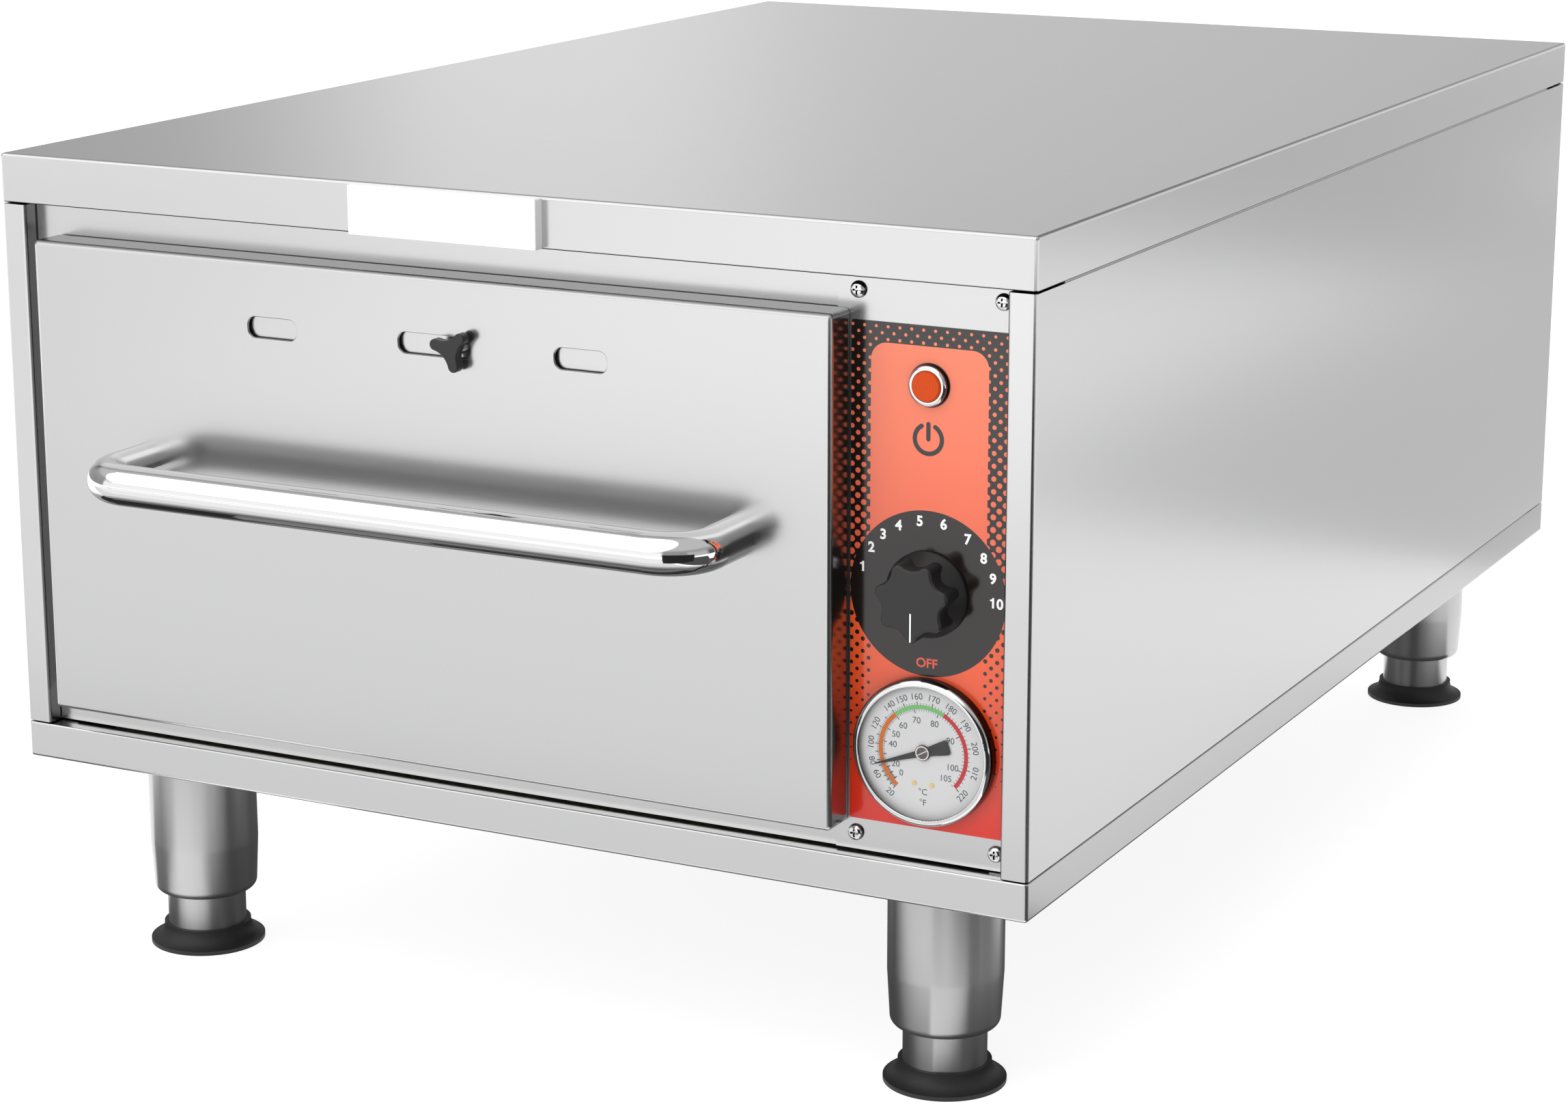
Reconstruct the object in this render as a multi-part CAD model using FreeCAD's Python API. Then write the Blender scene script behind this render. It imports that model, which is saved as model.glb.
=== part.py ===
import FreeCAD, Part
import math
import os

from FreeCAD import Placement, Rotation, Vector

# Freestanding warming drawer: a stainless cabinet on four levelling legs, one pan drawer
# on rollers, a sliding air vent in its front and a control column beside it.
# Millimetres. While modelling, x is right, y runs back from the drawer's front face and
# z is up from the floor. Each finished piece is then moved so that the origin lies on the
# floor below the middle of the whole appliance, handle included.

# Food pan: the drawer is sized around one full-size steam-table pan
PAN_WIDTH = 325.0
PAN_LENGTH = 530.0
PAN_DEPTH = 150.0
PAN_RIM = 10.0
PAN_TAPER = 10.0
PAN_CORNER = 52.0
PAN_SHEET = 0.8
PAN_FLOOR_RADIUS = 14.0
PAN_SIDE_GAP = 8.5
PAN_FRONT_GAP = 30.6
PAN_HEADROOM = 27.5
PAN_HEAT_GAP = 14.8
RIM_BEARING = 8.5

# Sheet metal
SHEET = 1.2
BEND = 1.6
DRAWER_BEND = 2.2
RIM_ROUND = 0.8
FIT = 0.2
SEAM = 0.8

# Cabinet shell
TOP_SKIRT = 23.2
BASE_SKIRT = 17.7
POST_WIDTH = 13.1
FACE_RECESS = 8.6
POST_TAB = 9.0
REAR_TAB = 12.0
LAP = 9.0
LAP_FLANGE = 12.0
LAP_INSET = 32.0
REAR_FLANGE = 10.0
REAR_RECESS = 8.0
LEDGE_DEPTH = 14.0
LEDGE_GAP = 1.2
BADGE_WIDTH = 97.5
BADGE_HEIGHT = 22.6
BADGE_THICK = 5.7
BADGE_OFFSET = -18.2
BADGE_EDGE = 0.8

# Margins around the drawer front and its opening
DRAWER_PROUD = 10.3
DRAWER_SIDE_GAP = 12.2
DRAWER_BOTTOM_GAP = 13.1
DRAWER_TOP_GAP = 14.8
OVERLAP_LEFT = 28.5
OVERLAP_RIGHT = 16.8
OVERLAP_BOTTOM = 11.0
OVERLAP_TOP = 11.0
CONTROL_WIDTH = 75.8
DRAWER_CLEARANCE = 0.3
COLLAR_DEPTH = 15.0
COLLAR_CORNER = 5.0

# Warming cavity and its insulation
INSULATION = 22.0
INSULATION_GAP = 2.0
INSULATION_FOOT = 4.1
CAVITY_TAIL = 22.0
WIRING_SPACE = 54.5

# Drawer slides
SLIDE_SPACE = 15.0
ROLLER_D = 25.0
ROLLER_WIDTH = 8.0
ROLLER_CROWN = 1.0
ROLLER_INSET = 5.0
ROLLER_DROP = 78.85
ROLLER_GAP = 0.25
AXLE_D = 8.0
AXLE_HEAD_D = 12.0
AXLE_GAP = 0.06
SIDE_GAP = 0.3
TRACK_HEADROOM = 1.0
RAIL_FLANGE = 14.0
RUNNER_FLANGE_GAP = 2.0
RUNNER_TAIL = 112.0
RUNNER_TAB = 20.0
RUNNER_HANGER = 30.0
CROSSBAR_GAP = 4.0
CROSSBAR_HEIGHT = 30.0
CROSSBAR_DEPTH = 15.0

# Drawer front, handle and air vent
HANDLE_D = 19.05
HANDLE_WALL = 1.5
HANDLE_REACH = 40.0
HANDLE_SPAN = 312.4
HANDLE_BEND = 19.0
HANDLE_RISE = 126.5
HANDLE_PLUG = 16.0
BOLT_D = 6.0
BOLT_HEAD_D = 13.0
BOLT_HEAD = 4.0
BOLT_GRIP = 12.0
BOLT_GAP = 0.1
SLOT_LENGTH = 26.5
SLOT_HEIGHT = 9.7
SLOT_CORNER = 4.0
SLOT_ROUND = 0.5
SLOT_SPREAD = 80.9
SLOT_DROP = 30.8
MID_SLOT_LENGTH = 37.7
MID_SLOT_OFFSET = 5.8
VENT_TRAVEL = 24.0
VENT_PORT = 20.0
VENT_PLATE = 1.0
VENT_SETBACK = 1.5
VENT_PLATE_HEIGHT = 18.4
VENT_MARGIN = 18.0
GUIDE_LIP = 2.5
GUIDE_WIDTH = 3.0
STUD_D = 6.0
STUD_THREAD_D = 4.0
STUD_MARGIN = 3.9
STUD_GRIP = 3.2
WING_COUNT = 3
WING_STANDOFF = 2.4
WING_THICK = 4.6
WING_TIP = 10.2
WING_HUB = 4.5
WING_END = 2.6
WING_EDGE = 0.8
WING_TURN = 45.0

# Controls
OVERLAY_THICK = 0.4
OVERLAY_WIDTH = 73.8
OVERLAY_CORNER = 1.0
OVERLAY_GAP = 1.0
CONTROL_INSET = 36.55
OVERLAY_ABOVE = 25.3
OVERLAY_BELOW = 35.2
GAUGE_RISE = 50.7
PILOT_DROP = 44.7
KNOB_RISE = 69.8
BEZEL_D = 66.0
BEZEL_SIGHT_D = 59.5
BEZEL_HEIGHT = 6.0
BEZEL_ROUND = 2.6
CASE_D = 57.0
CASE_DEPTH = 22.0
CASE_WALL = 0.8
DIAL_HEIGHT = 2.0
DIAL_THICK = 0.8
GLASS_THICK = 1.0
NEEDLE_LIFT = 0.4
NEEDLE_THICK = 0.5
NEEDLE_LENGTH = 24.0
NEEDLE_TAIL = 13.0
NEEDLE_WIDTH = 3.2
NEEDLE_HUB_D = 7.0
NEEDLE_REST = 199.0
SPINDLE_D = 2.0
SPINDLE_GAP = 0.06
PILOT_D = 18.0
PILOT_HEIGHT = 3.2
PILOT_BARREL_D = 15.0
PILOT_DEPTH = 20.0
LENS_D = 13.4
LENS_HEIGHT = 4.3
LENS_EDGE = 1.2
KNOB_LOBES = 7
KNOB_TIP = 17.3
KNOB_VALLEY = 14.0
KNOB_LOBE_ROUND = 3.2
KNOB_HEIGHT = 16.8
KNOB_BASE = 19.0
KNOB_NECK = 13.6
KNOB_CONE = 9.0
KNOB_EDGE = 1.2
KNOB_POINT = 1.4
KNOB_NIB = 5.2
KNOB_GAP = 0.5
SHAFT_D = 6.0
BUSHING_D = 10.0
BUSHING_LENGTH = 7.0
THERMOSTAT_WIDTH = 44.0
THERMOSTAT_DEPTH = 32.0
CAPILLARY_D = 2.0
CAPILLARY_BEND = 20.0
BULB_D = 8.0
BULB_LENGTH = 110.0
BULB_BACK_GAP = 10.0
SCREW_HEAD_D = 7.5
SCREW_HEAD = 2.4
SCREW_D = 3.5
SCREW_LENGTH = 9.0
SCREW_GAP = 0.1
SCREW_SPREAD = 66.8
SCREW_TOP = 6.5
SCREW_BOTTOM = 8.9
RECESS_WIDTH = 0.9
RECESS_LENGTH = 3.8
RECESS_DEPTH = 1.2

# Heating element
ELEMENT_D = 8.0
ELEMENT_LIFT = 10.9
ELEMENT_PITCH = 80.0
ELEMENT_LEGS = 4
ELEMENT_FRONT = 75.0
ELEMENT_REAR = 92.0
TERMINAL_TAIL = 15.0
SUPPORT_FOOT = 15.0
SUPPORT_MARGIN = 20.0
SUPPORT_INSET = 90.0

# Rear of the cabinet
REAR_SCREW_INSET = 25.0
BUSHING_HOLE_D = 16.0
GROMMET_D = 24.0
GROMMET_FLANGE = 3.0
GROMMET_EDGE = 0.8
CORD_HOLE_D = 9.0
CORD_RISE = 45.0
CORD_INSET = 75.0
BLOCK_WIDTH = 46.0
BLOCK_DEPTH = 18.0
BLOCK_HEIGHT = 22.0
BLOCK_GAP = 40.0
BLOCK_POLES = 3
BLOCK_WELL_D = 9.0
BLOCK_CORNER = 2.0

# Legs
LEG_HEIGHT = 101.6
LEG_INSET_SIDE = 62.4
LEG_INSET_FRONT = 54.5
LEG_INSET_REAR = 42.2
SLEEVE_D = 53.0
SLEEVE_END_D = 50.0
SLEEVE_LENGTH = 74.4
SLEEVE_TAPER = 26.0
SLEEVE_ROUND = 4.0
SLEEVE_CAP = 10.0
INSERT_D = 38.5
INSERT_GAP = 0.1
INSERT_ENGAGED = 45.0
BOOT_D = 56.4
BOOT_HEIGHT = 10.2
BOOT_SOLE = 4.0
BOOT_LIP = 2.2
STUD_BOLT_D = 16.0
NUT_FLATS = 24.0
NUT_HEIGHT = 9.0
NUT_GAP = 0.1

# Room that a flat plate leaves inside a bend
BEND_ROOM = BEND - SHEET + FIT

# Stacked sizes across the width
WEB_X = PAN_WIDTH / 2 + PAN_SIDE_GAP
LINER_HALF = WEB_X + SHEET + SLIDE_SPACE
OPENING_WIDTH = 2 * (LINER_HALF - SHEET)
DRAWER_WIDTH = OPENING_WIDTH + OVERLAP_LEFT + OVERLAP_RIGHT
CABINET_WIDTH = 2 * POST_WIDTH + DRAWER_SIDE_GAP + DRAWER_WIDTH + CONTROL_WIDTH
HALF = CABINET_WIDTH / 2
POST_X = HALF - POST_WIDTH
DRAWER_X0 = -POST_X + DRAWER_SIDE_GAP
DRAWER_X1 = DRAWER_X0 + DRAWER_WIDTH
CAVITY_X = DRAWER_X0 + OVERLAP_LEFT + OPENING_WIDTH / 2
OVERLAY_X = DRAWER_X1 + OVERLAY_GAP
CONTROL_X = OVERLAY_X + CONTROL_INSET

# Stacked sizes up the height
BASE_Z = LEG_HEIGHT
FLOOR_Z = BASE_Z + SHEET
BASE_RIM_Z = BASE_Z + BASE_SKIRT
FRAME_Z0 = BASE_RIM_Z + LEDGE_GAP
DRAWER_Z0 = BASE_RIM_Z + DRAWER_BOTTOM_GAP
OPENING_Z0 = DRAWER_Z0 + OVERLAP_BOTTOM
CAVITY_Z0 = OPENING_Z0 - SHEET
ELEMENT_Z = CAVITY_Z0 + ELEMENT_LIFT
PAN_RIM_Z = ELEMENT_Z + ELEMENT_D / 2 + PAN_HEAT_GAP + PAN_DEPTH
OPENING_Z1 = PAN_RIM_Z + PAN_HEADROOM
CAVITY_Z1 = OPENING_Z1 + SHEET
DRAWER_Z1 = OPENING_Z1 + OVERLAP_TOP
TOP_SKIRT_Z = DRAWER_Z1 + DRAWER_TOP_GAP
TOP_Z = TOP_SKIRT_Z + TOP_SKIRT
ROOF_Z = TOP_Z - SHEET
INSULATION_Z0 = FLOOR_Z + NUT_HEIGHT + INSULATION_FOOT
ROLLER_Z = PAN_RIM_Z - ROLLER_DROP
TRACK_Z = ROLLER_Z - ROLLER_D / 2 - ROLLER_GAP
FLANGE_Z = ROLLER_Z + ROLLER_D / 2 + ROLLER_GAP
HANDLE_Z = DRAWER_Z0 + HANDLE_RISE
VENT_Z = DRAWER_Z1 - SLOT_DROP
GAUGE_Z = BASE_RIM_Z + GAUGE_RISE
KNOB_Z = GAUGE_Z + KNOB_RISE
PILOT_Z = TOP_SKIRT_Z - PILOT_DROP

# Stacked sizes from front to back
FACE_Y = DRAWER_PROUD
FRAME_Y = FACE_Y + FACE_RECESS
FRAME_BACK_Y = FRAME_Y + SHEET
PANEL_Y = FRAME_Y - SHEET
OVERLAY_Y = PANEL_Y - OVERLAY_THICK
DRAWER_DEPTH = PANEL_Y - DRAWER_CLEARANCE
COLLAR_Y = FRAME_BACK_Y + COLLAR_DEPTH
PAN_Y0 = DRAWER_DEPTH + PAN_FRONT_GAP
PAN_Y1 = PAN_Y0 + PAN_LENGTH
RUNNER_Y1 = PAN_Y1 + RUNNER_TAIL
CAVITY_Y1 = RUNNER_Y1 + CAVITY_TAIL
INSULATION_Y0 = OVERLAY_Y + CASE_DEPTH + INSULATION_GAP
INSULATION_Y1 = CAVITY_Y1 + SHEET + INSULATION
REAR_Y = INSULATION_Y1 + WIRING_SPACE
BACK_Y = REAR_Y + REAR_RECESS
RAIL_Y0 = COLLAR_Y + 2 * SIDE_GAP
RAIL_Y1 = RUNNER_Y1 + ROLLER_INSET
FRONT_ROLLER_Y = RAIL_Y0 + ROLLER_D / 2 + TRACK_HEADROOM
REAR_ROLLER_Y = RUNNER_Y1 - RUNNER_HANGER / 2
BULB_Y = CAVITY_Y1 - BULB_BACK_GAP
FRONT_Y = -(BACK_Y - HANDLE_REACH - HANDLE_D / 2) / 2

# Widths of the roller tracks, measured out from the middle of the cavity
ROLLER_OUT = LINER_HALF - ROLLER_INSET
ROLLER_IN = ROLLER_OUT - ROLLER_WIDTH
RAIL_FACE = LINER_HALF - SHEET
RUNNER_FLANGE_X = RAIL_FACE - RUNNER_FLANGE_GAP

UP = (0, 0, 1)
FORWARD = (0, -1, 0)
PLANES = {
    "XY": lambda u, v, w: Vector(u, v, w),
    "XZ": lambda u, v, w: Vector(u, w, v),
    "YZ": lambda u, v, w: Vector(w, u, v),
}


def save(node, *solids):
    """Write one node, moved from the modelling frame to the part's own frame."""
    shape = solids[0] if len(solids) == 1 else Part.makeCompound(list(solids))
    placed = shape.copy()
    placed.translate(Vector(0, FRONT_Y, 0))
    placed.exportStep(f"parts/{node}.step")


def box(x0, x1, y0, y1, z0, z1):
    return Part.makeBox(x1 - x0, y1 - y0, z1 - z0, Vector(x0, y0, z0))


def rod(diameter, start, end):
    """Round bar from one point to another."""
    base = Vector(*start)
    along = Vector(*end) - base
    return Part.makeCylinder(diameter / 2, along.Length, base, along)


def rectangle(u0, u1, v0, v1, radius=0.0):
    """Corners of a rectangle, all with one radius."""
    return [(u0, v0, radius), (u1, v0, radius), (u1, v1, radius), (u0, v1, radius)]


def outline(corners, plane, at):
    """Closed wire through (u, v, radius) corners, each rounded by its own radius."""
    to_space = PLANES[plane]
    flat = [Vector(u, v, 0) for u, v, _ in corners]
    trimmed = []
    for index, (u, v, radius) in enumerate(corners):
        here = flat[index]
        to_last = (flat[index - 1] - here).normalize()
        to_next = (flat[(index + 1) % len(flat)] - here).normalize()
        half = to_last.getAngle(to_next) / 2
        reach = radius / math.tan(half)
        inward = (to_last + to_next).normalize() if radius else Vector()
        middle = here + inward * (radius / math.sin(half) - radius)
        trimmed.append((here + to_last * reach, middle, here + to_next * reach, radius))
    edges = []
    for index, (enter, middle, leave, radius) in enumerate(trimmed):
        enter, middle, leave = [to_space(p.x, p.y, at) for p in (enter, middle, leave)]
        following = trimmed[(index + 1) % len(trimmed)][0]
        following = to_space(following.x, following.y, at)
        if radius:
            edges.append(Part.Arc(enter, middle, leave).toShape())
        if (following - leave).Length > 1e-6:
            edges.append(Part.LineSegment(leave, following).toShape())
    return Part.Wire(edges)


def extruded(corners, plane, start, end):
    """Solid of an outline, carried square to its plane."""
    face = Part.Face(outline(corners, plane, start))
    return face.extrude(PLANES[plane](0, 0, end - start))


def folded(path, plane, start, end, bend=BEND):
    """Bent sheet: a path of (u, v) points thickened to the right of its direction."""
    points = [Vector(u, v, 0) for u, v in path]
    runs = [(b - a).normalize() for a, b in zip(points, points[1:])]
    rights = [Vector(run.y, -run.x, 0) for run in runs]
    near = []
    far = []
    for index, point in enumerate(points):
        if index in (0, len(points) - 1):
            side = rights[min(index, len(rights) - 1)]
            near.append((point, 0.0))
            far.append((point + side * SHEET, 0.0))
            continue
        before, after = rights[index - 1], rights[index]
        mitre = (before + after) * (SHEET / (1 + before.dot(after)))
        turns_left = runs[index - 1].cross(runs[index]).z > 0
        inner = max(bend - SHEET, 0.0)
        near.append((point, inner if turns_left else bend))
        far.append((point + mitre, bend if turns_left else inner))
    corners = [(p.x, p.y, r) for p, r in near + far[::-1]]
    return extruded(corners, plane, start, end)


def turned(corners, base, axis):
    """Solid turned from an (r, h, radius) outline, with h along the axis from the base."""
    solid = Part.Face(outline(corners, "XZ", 0)).revolve(Vector(), Vector(0, 0, 1), 360)
    solid.Placement = Placement(Vector(*base), Rotation(Vector(0, 0, 1), Vector(*axis)))
    return solid


def tray(x0, x1, y0, y1, z0, z1, open_side, bend, rim_round=0.0):
    """Sheet box with one open side, its other edges bent round and its rim eased outside."""
    open_normal = Vector(*open_side)
    blocks = []
    for inset in (0.0, SHEET):
        low = Vector(x0 + inset, y0 + inset, z0 + inset)
        high = Vector(x1 - inset, y1 - inset, z1 - inset)
        reach = open_normal * inset
        low += Vector(min(reach.x, 0), min(reach.y, 0), min(reach.z, 0))
        high += Vector(max(reach.x, 0), max(reach.y, 0), max(reach.z, 0))
        size = high - low
        block = Part.makeBox(size.x, size.y, size.z, low)
        rim = max(vertex.Point.dot(open_normal) for vertex in block.Vertexes)
        closed = []
        for edge in block.Edges:
            if min(vertex.Point.dot(open_normal) for vertex in edge.Vertexes) < rim - 1e-6:
                closed.append(edge)
        blocks.append(block.makeFillet(bend - inset, closed))
    outer, inner = blocks
    if rim_round:
        at_rim = []
        for edge in outer.Edges:
            if min(vertex.Point.dot(open_normal) for vertex in edge.Vertexes) > rim - 1e-6:
                at_rim.append(edge)
        outer = outer.makeFillet(rim_round, at_rim)
    return outer.cut(inner)


def mirrored(shape, x):
    """The same piece for the other side of a plane at x."""
    return shape.mirror(Vector(x, 0, 0), Vector(1, 0, 0))


def swept(edges, diameter):
    """Round bar bent along joined edges."""
    path = Part.Wire(edges)
    start = path.OrderedVertexes[0].Point
    along = path.OrderedEdges[0].tangentAt(path.OrderedEdges[0].FirstParameter)
    profile = Part.Wire(Part.makeCircle(diameter / 2, start, along))
    return path.makePipeShell([profile], True, False)


def line(start, end):
    return Part.LineSegment(Vector(*start), Vector(*end)).toShape()


def corner_arc(centre, radius, from_deg, to_deg, z):
    """Horizontal arc about a centre, by its two angles."""
    points = []
    for angle in (from_deg, (from_deg + to_deg) / 2, to_deg):
        turn = math.radians(angle)
        points.append(Vector(centre[0] + radius * math.cos(turn), centre[1] + radius * math.sin(turn), z))
    return Part.Arc(*points).toShape()


def leg_places():
    """Leg names with their x and y."""
    side_x = HALF - LEG_INSET_SIDE
    rows = (("front", FACE_Y + LEG_INSET_FRONT), ("rear", BACK_Y - LEG_INSET_REAR))
    return [(f"{row}_{side}", x, y) for row, y in rows for side, x in (("left", -side_x), ("right", side_x))]


def control_screw_places():
    low = BASE_RIM_Z + SCREW_BOTTOM
    high = TOP_SKIRT_Z - SCREW_TOP
    return [(CONTROL_X + side * SCREW_SPREAD / 2, z) for side in (-1, 1) for z in (low, high)]


def rear_screw_places():
    x = HALF - REAR_FLANGE - REAR_TAB / 2
    low = BASE_RIM_Z + REAR_SCREW_INSET
    high = TOP_SKIRT_Z - REAR_SCREW_INSET
    return [(side * x, z) for side in (-1, 1) for z in (low, high)]


def handle_places():
    return [CAVITY_X - HANDLE_SPAN / 2, CAVITY_X + HANDLE_SPAN / 2]


def element_places():
    middle = (ELEMENT_LEGS - 1) / 2
    return [CAVITY_X + (index - middle) * ELEMENT_PITCH for index in range(ELEMENT_LEGS)]


def through_y(shape, places, diameter, y0, y1):
    """Drill holes along y at (x, z) places."""
    for x, z in places:
        shape = shape.cut(rod(diameter, (x, y0 - 1, z), (x, y1 + 1, z)))
    return shape


# Cabinet shell

def base_pan():
    """Floor with four skirts and a boxed ledge behind the front one."""
    pan = tray(-HALF, HALF, FACE_Y, BACK_Y, BASE_Z, BASE_RIM_Z, UP, BEND, RIM_ROUND)
    ledge_y = FACE_Y + LEDGE_DEPTH
    ledge_path = [(FACE_Y + SHEET, BASE_RIM_Z), (ledge_y, BASE_RIM_Z), (ledge_y, FLOOR_Z)]
    pan = pan.fuse(folded(ledge_path, "YZ", -POST_X, POST_X)).removeSplitter()
    for _, x, y in leg_places():
        pan = pan.cut(rod(STUD_BOLT_D + 2 * NUT_GAP, (x, y, BASE_Z - 1), (x, y, FLOOR_Z + 1)))
    return pan


def left_side_panel():
    """Side wall folded into the front post and the rear flange, with laps behind both skirts."""
    wall_path = [
        (-POST_X + POST_TAB, FRAME_BACK_Y),
        (-POST_X, FRAME_BACK_Y),
        (-POST_X, FACE_Y),
        (-HALF, FACE_Y),
        (-HALF, BACK_Y),
        (-HALF + REAR_FLANGE, BACK_Y),
        (-HALF + REAR_FLANGE, REAR_Y),
        (-HALF + REAR_FLANGE + REAR_TAB, REAR_Y),
    ]
    low = BASE_RIM_Z + SEAM
    high = TOP_SKIRT_Z - SEAM
    lap_x = -HALF + SHEET
    flange_x = lap_x + LAP_FLANGE
    lower_lap = [(lap_x + SHEET, low + LAP), (lap_x + SHEET, FLOOR_Z + SHEET), (flange_x, FLOOR_Z + SHEET)]
    upper_lap = [(lap_x, high - LAP), (lap_x, ROOF_Z), (flange_x, ROOF_Z)]
    panel = folded(wall_path, "XY", low, high)
    for lap in (lower_lap, upper_lap):
        panel = panel.fuse(folded(lap, "XZ", FACE_Y + LAP_INSET, BACK_Y - LAP_INSET))
    panel = panel.removeSplitter()
    return through_y(panel, rear_screw_places(), SCREW_D + 2 * SCREW_GAP, REAR_Y - SHEET, REAR_Y)


def right_side_panel(left_panel):
    """Mirror of the left panel, its post drilled for the screws of the control panel."""
    panel = mirrored(left_panel, 0)
    tab_y = FRAME_BACK_Y + SHEET
    return through_y(panel, control_screw_places(), SCREW_D + 2 * SCREW_GAP, FRAME_BACK_Y, tab_y)


def rear_panel():
    edge = HALF - REAR_FLANGE - BEND_ROOM
    panel = box(-edge, edge, REAR_Y, REAR_Y + SHEET, FLOOR_Z, ROOF_Z)
    panel = through_y(panel, rear_screw_places(), SCREW_D + 2 * SCREW_GAP, REAR_Y, REAR_Y + SHEET)
    return through_y(panel, [cord_place()], BUSHING_HOLE_D, REAR_Y, REAR_Y + SHEET)


def top_cover():
    return tray(-HALF, HALF, FACE_Y, BACK_Y, TOP_SKIRT_Z, TOP_Z, (0, 0, -1), BEND, RIM_ROUND)


def badge_plate():
    middle = BADGE_OFFSET
    corners = rectangle(middle - BADGE_WIDTH / 2, middle + BADGE_WIDTH / 2,
                        TOP_SKIRT_Z, TOP_SKIRT_Z + BADGE_HEIGHT, BADGE_EDGE)
    plate = extruded(corners, "XZ", FACE_Y - BADGE_THICK, FACE_Y)
    front = [edge for edge in plate.Edges if edge.BoundBox.YMax < FACE_Y - BADGE_THICK / 2]
    return plate.makeFillet(BADGE_EDGE / 2, front)


def face_frame():
    """Plate between the posts, with a collar bent back around the drawer opening."""
    edge = POST_X - BEND_ROOM
    opening = rectangle(CAVITY_X - OPENING_WIDTH / 2, CAVITY_X + OPENING_WIDTH / 2,
                        OPENING_Z0, OPENING_Z1, COLLAR_CORNER)
    outside = rectangle(CAVITY_X - LINER_HALF, CAVITY_X + LINER_HALF,
                        CAVITY_Z0, CAVITY_Z1, COLLAR_CORNER + SHEET)
    frame = box(-edge, edge, FRAME_Y, FRAME_BACK_Y, FRAME_Z0, ROOF_Z)
    frame = frame.fuse(extruded(outside, "XZ", FRAME_BACK_Y, COLLAR_Y))
    frame = frame.cut(extruded(opening, "XZ", FRAME_Y - 1, COLLAR_Y + 1)).removeSplitter()
    window = rectangle(CONTROL_X - SCREW_SPREAD / 2, CONTROL_X + SCREW_SPREAD / 2,
                       GAUGE_Z - OVERLAY_BELOW, PILOT_Z + OVERLAY_ABOVE, COLLAR_CORNER)
    frame = frame.cut(extruded(window, "XZ", FRAME_Y - 1, FRAME_BACK_Y + 1))
    return through_y(frame, control_screw_places(), SCREW_D + 2 * SCREW_GAP, FRAME_Y, FRAME_BACK_Y)


# Control column

def control_holes(shape, y0, y1):
    """Holes for the gauge case, the thermostat bushing and the pilot barrel."""
    shape = through_y(shape, [(CONTROL_X, GAUGE_Z)], CASE_D + 2 * FIT, y0, y1)
    shape = through_y(shape, [(CONTROL_X, KNOB_Z)], BUSHING_D + 2 * FIT, y0, y1)
    return through_y(shape, [(CONTROL_X, PILOT_Z)], PILOT_BARREL_D + 2 * FIT, y0, y1)


def control_panel():
    left = DRAWER_X1 - OVERLAP_RIGHT / 3
    panel = box(left, POST_X - BEND_ROOM, PANEL_Y, FRAME_Y, FRAME_Z0, ROOF_Z)
    panel = through_y(panel, control_screw_places(), SCREW_D + 2 * SCREW_GAP, PANEL_Y, FRAME_Y)
    return control_holes(panel, PANEL_Y, FRAME_Y)


def control_overlay():
    corners = rectangle(OVERLAY_X, OVERLAY_X + OVERLAY_WIDTH,
                        GAUGE_Z - OVERLAY_BELOW, PILOT_Z + OVERLAY_ABOVE, OVERLAY_CORNER)
    return control_holes(extruded(corners, "XZ", OVERLAY_Y, PANEL_Y), OVERLAY_Y, PANEL_Y)


def screw(x, y, z, axis):
    """Domed cross-recess screw, its head seated at y and its shank behind the head."""
    head = SCREW_HEAD_D / 2
    corners = [
        (0, -SCREW_LENGTH, 0), (SCREW_D / 2, -SCREW_LENGTH, 0), (SCREW_D / 2, 0, 0),
        (head, 0, 0), (head, SCREW_HEAD, SCREW_HEAD * 0.9), (0, SCREW_HEAD, 0),
    ]
    solid = turned(corners, (x, y, z), axis)
    top = y + axis[1] * SCREW_HEAD
    floor = top - axis[1] * RECESS_DEPTH
    y0, y1 = sorted((floor, top + axis[1]))
    for long_x, long_z in ((RECESS_LENGTH, RECESS_WIDTH), (RECESS_WIDTH, RECESS_LENGTH)):
        solid = solid.cut(box(x - long_x / 2, x + long_x / 2, y0, y1, z - long_z / 2, z + long_z / 2))
    return solid


def panel_screws():
    front = [screw(x, PANEL_Y, z, FORWARD) for x, z in control_screw_places()]
    rear = [screw(x, REAR_Y + SHEET, z, (0, 1, 0)) for x, z in rear_screw_places()]
    return front + rear


def pilot_housing():
    """Chromed ring on a barrel that passes through the panel."""
    ring = PILOT_D / 2
    barrel = PILOT_BARREL_D / 2
    seat = LENS_D / 2 + FIT
    corners = [
        (0, -PILOT_DEPTH, 0), (barrel, -PILOT_DEPTH, 0), (barrel, 0, 0), (ring, 0, 0),
        (ring, PILOT_HEIGHT, PILOT_HEIGHT / 2), (seat, PILOT_HEIGHT, 0), (seat, 0, 0), (0, 0, 0),
    ]
    return turned(corners, (CONTROL_X, OVERLAY_Y, PILOT_Z), FORWARD)


def pilot_lens():
    radius = LENS_D / 2
    corners = [(0, 0, 0), (radius, 0, 0), (radius, LENS_HEIGHT, LENS_EDGE), (0, LENS_HEIGHT, 0)]
    return turned(corners, (CONTROL_X, OVERLAY_Y, PILOT_Z), FORWARD)


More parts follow.
